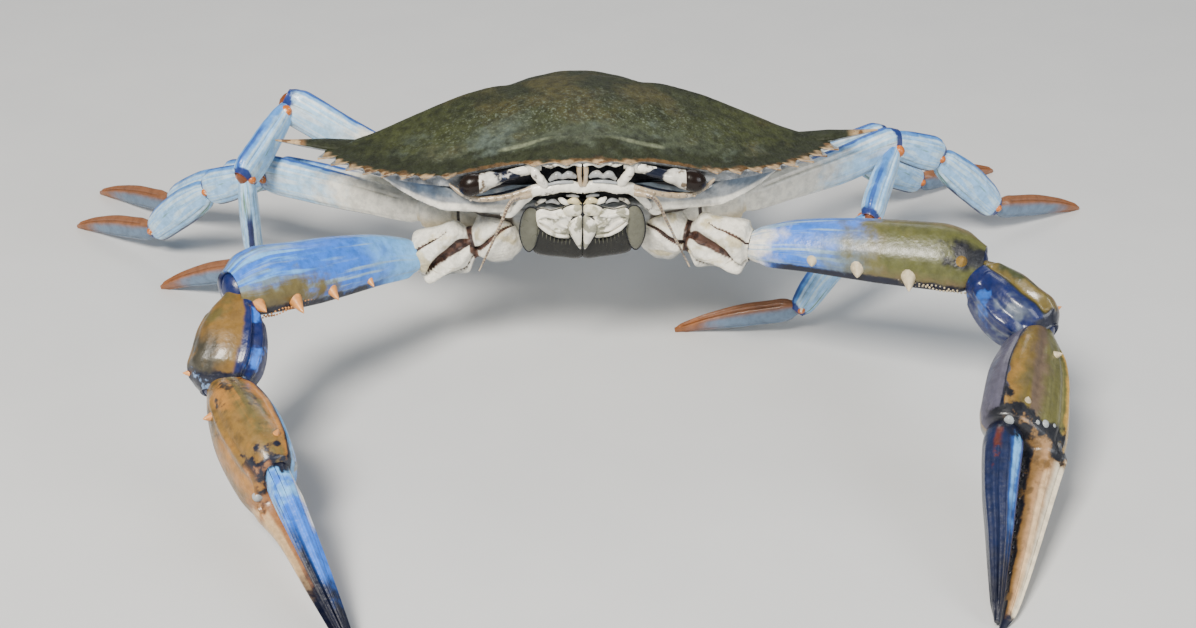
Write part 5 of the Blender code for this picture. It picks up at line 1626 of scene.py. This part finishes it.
def left_claw_looks():
    """The crab's left claw: olive hand, dark blue fingers."""
    merus = shell("merus_shell_left", BLUE, (
        zone(WHITE, 0.4, along=(0.2, 0.0)),
        zone(MISTY_BLUE, 0.9, streaks=((0.46, 0.62), (4, 4)), upper=(0.0, 0.5)),
        zone((0.15, 0.21, 0.25), 0.4, along=(0.2, 0.5), front=(-0.9, 0.4)),
        zone((0.16, 0.13, 0.042), 0.4, along=(0.38, 0.62)),
        zone((0.10, 0.105, 0.03), 0.6, along=(0.45, 0.7), upper=(0.3, 0.8)),
        zone((0.29, 0.20, 0.085), 0.7, along=(0.5, 0.62), spots=((0.48, 0.62), (420, 4)), upper=(0.7, 0.2)),
        zone((0.055, 0.055, 0.02), 0.6, along=(0.6, 0.85), spots=((0.5, 0.75), (60, 3))),
        zone(NAVY, 0.15, front=(0.93, 0.985), along=(0.05, 0.2)),
        zone(NAVY, 0.2, upper=(0.15, -0.1), along=(0.05, 0.2)),
        zone(BLACK, 0.3, along=(0.85, 0.91), upper=(0.85, 0.97)),
        GREY_UNDERSIDE,
        PALE_TIP,
        zone((0.40, 0.24, 0.05), 0.1, tip=(0.3, 0.6), along=(0.9, 0.92), upper=(0.9, 0.98)),
        BLUE_JOINT,
    ), coat=0.12)
    carpus = shell("carpus_shell_left", (0.15, 0.11, 0.025), (
        zone(OLIVE, 0.9, spots=((0.46, 0.6), (90, 3))),
        zone(OCHRE, 0.5, front=(-0.72, -0.9)),
        zone(OLIVE_DARK, 0.2, front=(-0.3, -0.2)),
        zone(BLUE_DEEP, 0.2, front=(-0.22, -0.12)),
        zone((0.12, 0.15, 0.20), 0.5, front=(-0.1, 0.2), spots=((0.5, 0.62), (110, 3)), along=(0.4, 0.55)),
        zone((0.02, 0.12, 0.5), 0.8, front=(-0.05, 0.3), spots=((0.52, 0.62), (160, 3)), along=(0.6, 0.4)),
        zone(NAVY, 0.3, upper=(-0.1, -0.5)),
        zone(NAVY, 0.2, along=(0.93, 0.98)),
        ORANGE_TIP, BLUE_JOINT,
    ), coat=0.45)
    propodus = shell("propodus_shell_left", (0.17, 0.115, 0.022), (
        zone((0.095, 0.085, 0.022), 0.6, spots=((0.4, 0.7), (70, 3))),
        zone(OCHRE, 0.6, upper=(0.45, 0.84), along=(0.04, 0.22)),
        zone((0.13, 0.09, 0.06), 0.5, upper=(0.72, 0.4), front=(-0.7, -0.95), streaks=((0.36, 0.56), (4, 3))),
        zone((0.115, 0.11, 0.03), 0.4, upper=(0.2, -0.05)),
        zone((0.19, 0.175, 0.06), 0.5, upper=(0.1, -0.1), streaks=((0.5, 0.66), (8, 3))),
        zone((0.07, 0.05, 0.02), 0.2, upper=(0.8, 0.88), along=(0.3, 0.2)),
        zone((0.62, 0.36, 0.07), 0.2, upper=(-0.44, -0.52), along=(0.45, 0.3)),
        zone(CREAM, 0.3, upper=(-0.5, -0.95), along=(0.4, 0.5)),
        zone((0.32, 0.14, 0.05), 0.4, along=(0.4, 0.46), upper=(-0.75, -0.3)),
        zone((0.075, 0.07, 0.105), 0.5, upper=(0.9, 0.93)),
        zone(GREY, 0.5, front=(0.1, 0.7), along=(0.6, 0.4)),
        zone(NAVY, 0.04, upper=(0.86, 0.89), front=(0.2, -0.2), along=(0.42, 0.38)),
        zone((0.095, 0.09, 0.13), 0.04, upper=(0.92, 0.94)),
        zone(BLACK, 0.25, along=(0.33, 0.36), upper=(-0.9, -0.6), front=(0.3, -0.2)),
        zone((0.20, 0.11, 0.035), 0.3, along=(0.41, 0.44), upper=(0.97, 0.88)),
        zone((0.42, 0.24, 0.11), 0.5, along=(0.44, 0.52), upper=(0.85, 0.55)),
        zone((0.74, 0.52, 0.30), 0.3, along=(0.46, 0.56), upper=(0.6, 0.2), streaks=((0.4, 0.55), (6, 3))),
        zone((0.82, 0.72, 0.54), 0.25, along=(0.42, 0.46), upper=(0.12, -0.2)),
        zone((0.14, 0.08, 0.03), 0.4, along=(0.42, 0.46), upper=(0.5, 0.8), spots=((0.56, 0.62), (260, 3))),
        zone(NAVY, 0.2, along=(0.93, 0.98)),
        PALE_TIP,
        HINGE_KNOB,
    ), coat=0.3)
    dactyl = shell("dactyl_shell_left", (0.006, 0.014, 0.06), (
        zone((0.02, 0.09, 0.36), 0.3, upper=(0.35, 0.05), front=(-0.6, -0.9), along=(0.85, 0.6)),
        # A thin pale blue stripe along the finger's side: painted highlight.
        zone(BLUE_PALE, 0.2, upper=(0.12, 0.0), front=(-0.9, -0.98), along=(0.75, 0.5)),
        zone((0.12, 0.13, 0.15), 0.4, front=(0.0, 0.6)),
        zone((0.10, 0.018, 0.012), 0.4, upper=(0.6, 0.8), along=(0.52, 0.48), front=(-0.3, -0.5)),
        zone(NAVY, 0.25, along=(0.7, 0.9)),
        zone(NAVY, 0.2, along=(0.44, 0.41)),
        zone((0.2, 0.13, 0.08), 0.1, tip=(0.3, 0.8), along=(0.9, 0.8)),
    ), coat=0.5)
    return {"merus": merus, "carpus": carpus, "propodus": propodus, "dactyl": dactyl}


def hip_look():
    return shell("claw_hip_shell", WHITE, (
        zone((0.66, 0.58, 0.38), 0.8, spots=((0.54, 0.66), (150, 3))),
        zone((0.36, 0.30, 0.20), 0.6, streaks=((0.56, 0.66), (8, 3)), along=(0.4, 0.5), upper=(0.4, -0.2)),
        # Grey on the hips' undersides: painted shade.
        zone(GREY, 0.5, upper=(-0.4, -0.9)),
        zone((0.095, 0.045, 0.030), 0.5, joint=(0.25, 0.7)),
        zone((0.030, 0.014, 0.012), 0.6, joint=(0.3, 0.7), spots=((0.46, 0.56), (300, 4))),
    ), roughness=(0.4, 0.6), coat=0.05, grain=0.0003, shine=0.4)


def leg_looks():
    joint = zone((0.22, 0.06, 0.015), 0.2, joint=(0.1, 0.5))
    knobs = zone(ORANGE, 0.1, tip=(0.5, 0.8))
    glint = zone((0.85, 0.75, 0.6), 0.2, tip=(0.5, 0.8), spots=((0.6, 0.66), (700, 2)))
    # Thin dark lines along the upper and lower edges of the leg segments: painted shadow lines.
    upper_edge_shade = zone((0.03, 0.11, 0.42), 0.02, upper=(0.988, 0.998), along=(0.3, 0.5))
    lower_edge_shade = zone(BLUE_DEEP, 0.05, upper=(-0.96, -0.995), along=(0.2, 0.4))
    end = zone((0.01, 0.035, 0.2), 0.15, along=(0.97, 1.0))
    hip = shell("leg_hip_shell", WHITE, (zone(CREAM, 0.6, upper=(0.2, -0.5)), DARK_JOINT))
    merus = shell("leg_merus_shell", (0.44, 0.72, 0.98), (
        zone((0.72, 0.85, 0.94), 0.8, streaks=((0.45, 0.6), (5, 3))),
        zone(WHITE, 0.5, along=(0.75, 0.4)),
        zone((0.30, 0.46, 0.50), 0.2, streaks=((0.58, 0.7), (6, 3)), along=(0.4, 0.8)),
        zone((0.20, 0.44, 0.80), 0.2, upper=(0.9, 0.98), along=(0.4, 0.7)),
        upper_edge_shade, lower_edge_shade, end, knobs, glint, joint,
    ))
    blue = shell("leg_long_shell", (0.30, 0.57, 0.90), (
        zone((0.54, 0.74, 0.90), 0.6, streaks=((0.46, 0.6), (5, 3))),
        zone((0.16, 0.30, 0.24), 0.3, streaks=((0.58, 0.68), (7, 3)), upper=(0.5, -0.1)),
        zone((0.09, 0.30, 0.74), 0.3, upper=(0.84, 0.98)),
        upper_edge_shade, lower_edge_shade, end, knobs, glint, joint,
    ))
    dactyl = shell("leg_tip_shell", (0.13, 0.20, 0.30), (
        zone((0.24, 0.10, 0.045), 0.3, upper=(0.0, 0.5)),
        zone((0.28, 0.10, 0.03), 0.3, along=(0.6, 0.9)),
        knobs,
    ))
    return {"hip": hip, "merus": merus, "carpus": blue, "propodus": blue, "dactyl": dactyl, "paddle": blue}


def carapace_look():
    return shell("carapace_shell", OLIVE, (
        zone(OLIVE_DARK, 0.8, along=(0.7, 0.35)),
        zone((0.060, 0.055, 0.018), 0.9, spots=((0.5, 0.64), (45, 3))),
        zone((0.060, 0.074, 0.048), 0.5, front=(0.35, 0.85), along=(0.45, 0.85)),
        zone((0.085, 0.11, 0.09), 0.9, spots=((0.52, 0.64), (60, 4)), front=(0.2, 0.7)),
        zone(OLIVE_DARK, 0.5, along=(0.78, 0.93)),
        zone((0.105, 0.125, 0.085), 0.9, spots=((0.55, 0.62), (1250, 2)), front=(0.0, 0.5), along=(0.9, 0.6)),
        zone((0.19, 0.215, 0.135), 0.08, tip=(0.04, 0.2), along=(0.945, 0.93)),
        zone((0.11, 0.06, 0.02), 0.1, along=(0.972, 0.99), front=(0.3, 0.6)),
        zone((0.50, 0.34, 0.18), 0.15, tip=(0.35, 0.75)),
        zone((0.16, 0.08, 0.03), 0.3, tip=(0.35, 0.6), spots=((0.54, 0.62), (330, 3))),
        zone(GREY, 0.1, upper=(0.5, 0.0)),
        HOLLOW_SHADE,
    ), roughness=(0.48, 0.66), grain=0.00028, grain_size=1300, coat=0.0, mottle=0.55, shine=0.3)


def body_look():
    return shell("body_shell", (0.44, 0.43, 0.35), (
        zone(GREY, 0.5, upper=(0.25, 0.6)),
        zone(SLATE, 0.6, upper=(0.85, 1.0)),
        zone(WHITE, 0.2, along=(0.15, 0.5)),
        # Dark brown painted shadow under the cheek's white edge.
        zone((0.035, 0.022, 0.014), 0.1, front=(0.2, 0.8)),
        zone((0.01, 0.012, 0.03), 0.05, tip=(0.3, 0.7)),
        HOLLOW_SHADE,
    ), mottle=0.35)


def mouth_look():
    return shell("mouth_shell", WHITE, (
        zone((0.34, 0.33, 0.25), 0.5, spots=((0.5, 0.58), (240, 3)), along=(0.3, 0.1)),
        zone((0.70, 0.62, 0.36), 0.3, tip=(0.1, 0.3)),
        zone((0.13, 0.13, 0.095), 0.1, along=(0.4, 0.6)),
        # Near black on the lower plates and on the plates' rims: painted shade.
        zone((0.013, 0.013, 0.011), 0.1, along=(0.8, 0.9)),
        zone(BLACK, 0.1, joint=(0.4, 0.6)),
    ), roughness=(0.24, 0.4), coat=0.1, mottle=0.2, shine=0.35)


def face_look():
    return shell("face_shell", WHITE, (
        zone((0.44, 0.34, 0.22), 0.2, along=(0.12, 0.2)),
        zone(GREY, 0.2, along=(0.3, 0.45)),
        zone(BROWN, 0.2, along=(0.6, 0.75)),
        zone((0.68, 0.58, 0.32), 0.3, tip=(0.5, 0.8)),
        zone((0.22, 0.20, 0.17), 0.9, spots=((0.6, 0.68), (420, 3))),
    ), roughness=(0.2, 0.35), coat=0.4, mottle=0.25)


def eye_look():
    return shell("eye_shell", (0.66, 0.64, 0.56), (
        zone((0.10, 0.11, 0.12), 0.5, along=(0.06, 0.2), spots=((0.46, 0.56), (500, 3))),
        zone((0.010, 0.013, 0.026), 0.3, along=(0.2, 0.26)),
        zone((0.10, 0.15, 0.24), 0.3, along=(0.2, 0.26), spots=((0.58, 0.66), (600, 3))),
        zone((0.70, 0.68, 0.60), 0.5, along=(0.50, 0.56)),
        zone((0.16, 0.12, 0.08), 0.3, along=(0.62, 0.7), spots=((0.5, 0.6), (500, 2))),
        zone((0.012, 0.007, 0.005), 0.03, joint=(0.4, 0.6)),
    ), roughness=(0.2, 0.3), grain=0.00003, coat=0.0, mottle=0.3, shine=0.3)


build_camera()
build_stage()
build_light()
legs = leg_looks()
hips, mouth, face, eyes = hip_look(), mouth_look(), face_look(), eye_look()
for side, side_name in ((1, "left"), (-1, "right")):
    build_claw(side_name, {"hip": hips, **(left_claw_looks() if side == 1 else right_claw_looks())})
    for limb_name in ("leg1", "leg2", "leg3", "swimmer"):
        build_leg(limb_name, side_name, legs)
    build_mouth(side, side_name, mouth)
    build_eye(side, side_name, eyes)
    build_antenna(side, side_name, face)
build_carapace(carapace_look())
build_body(body_look())
build_face(face)
build_apron(mouth)
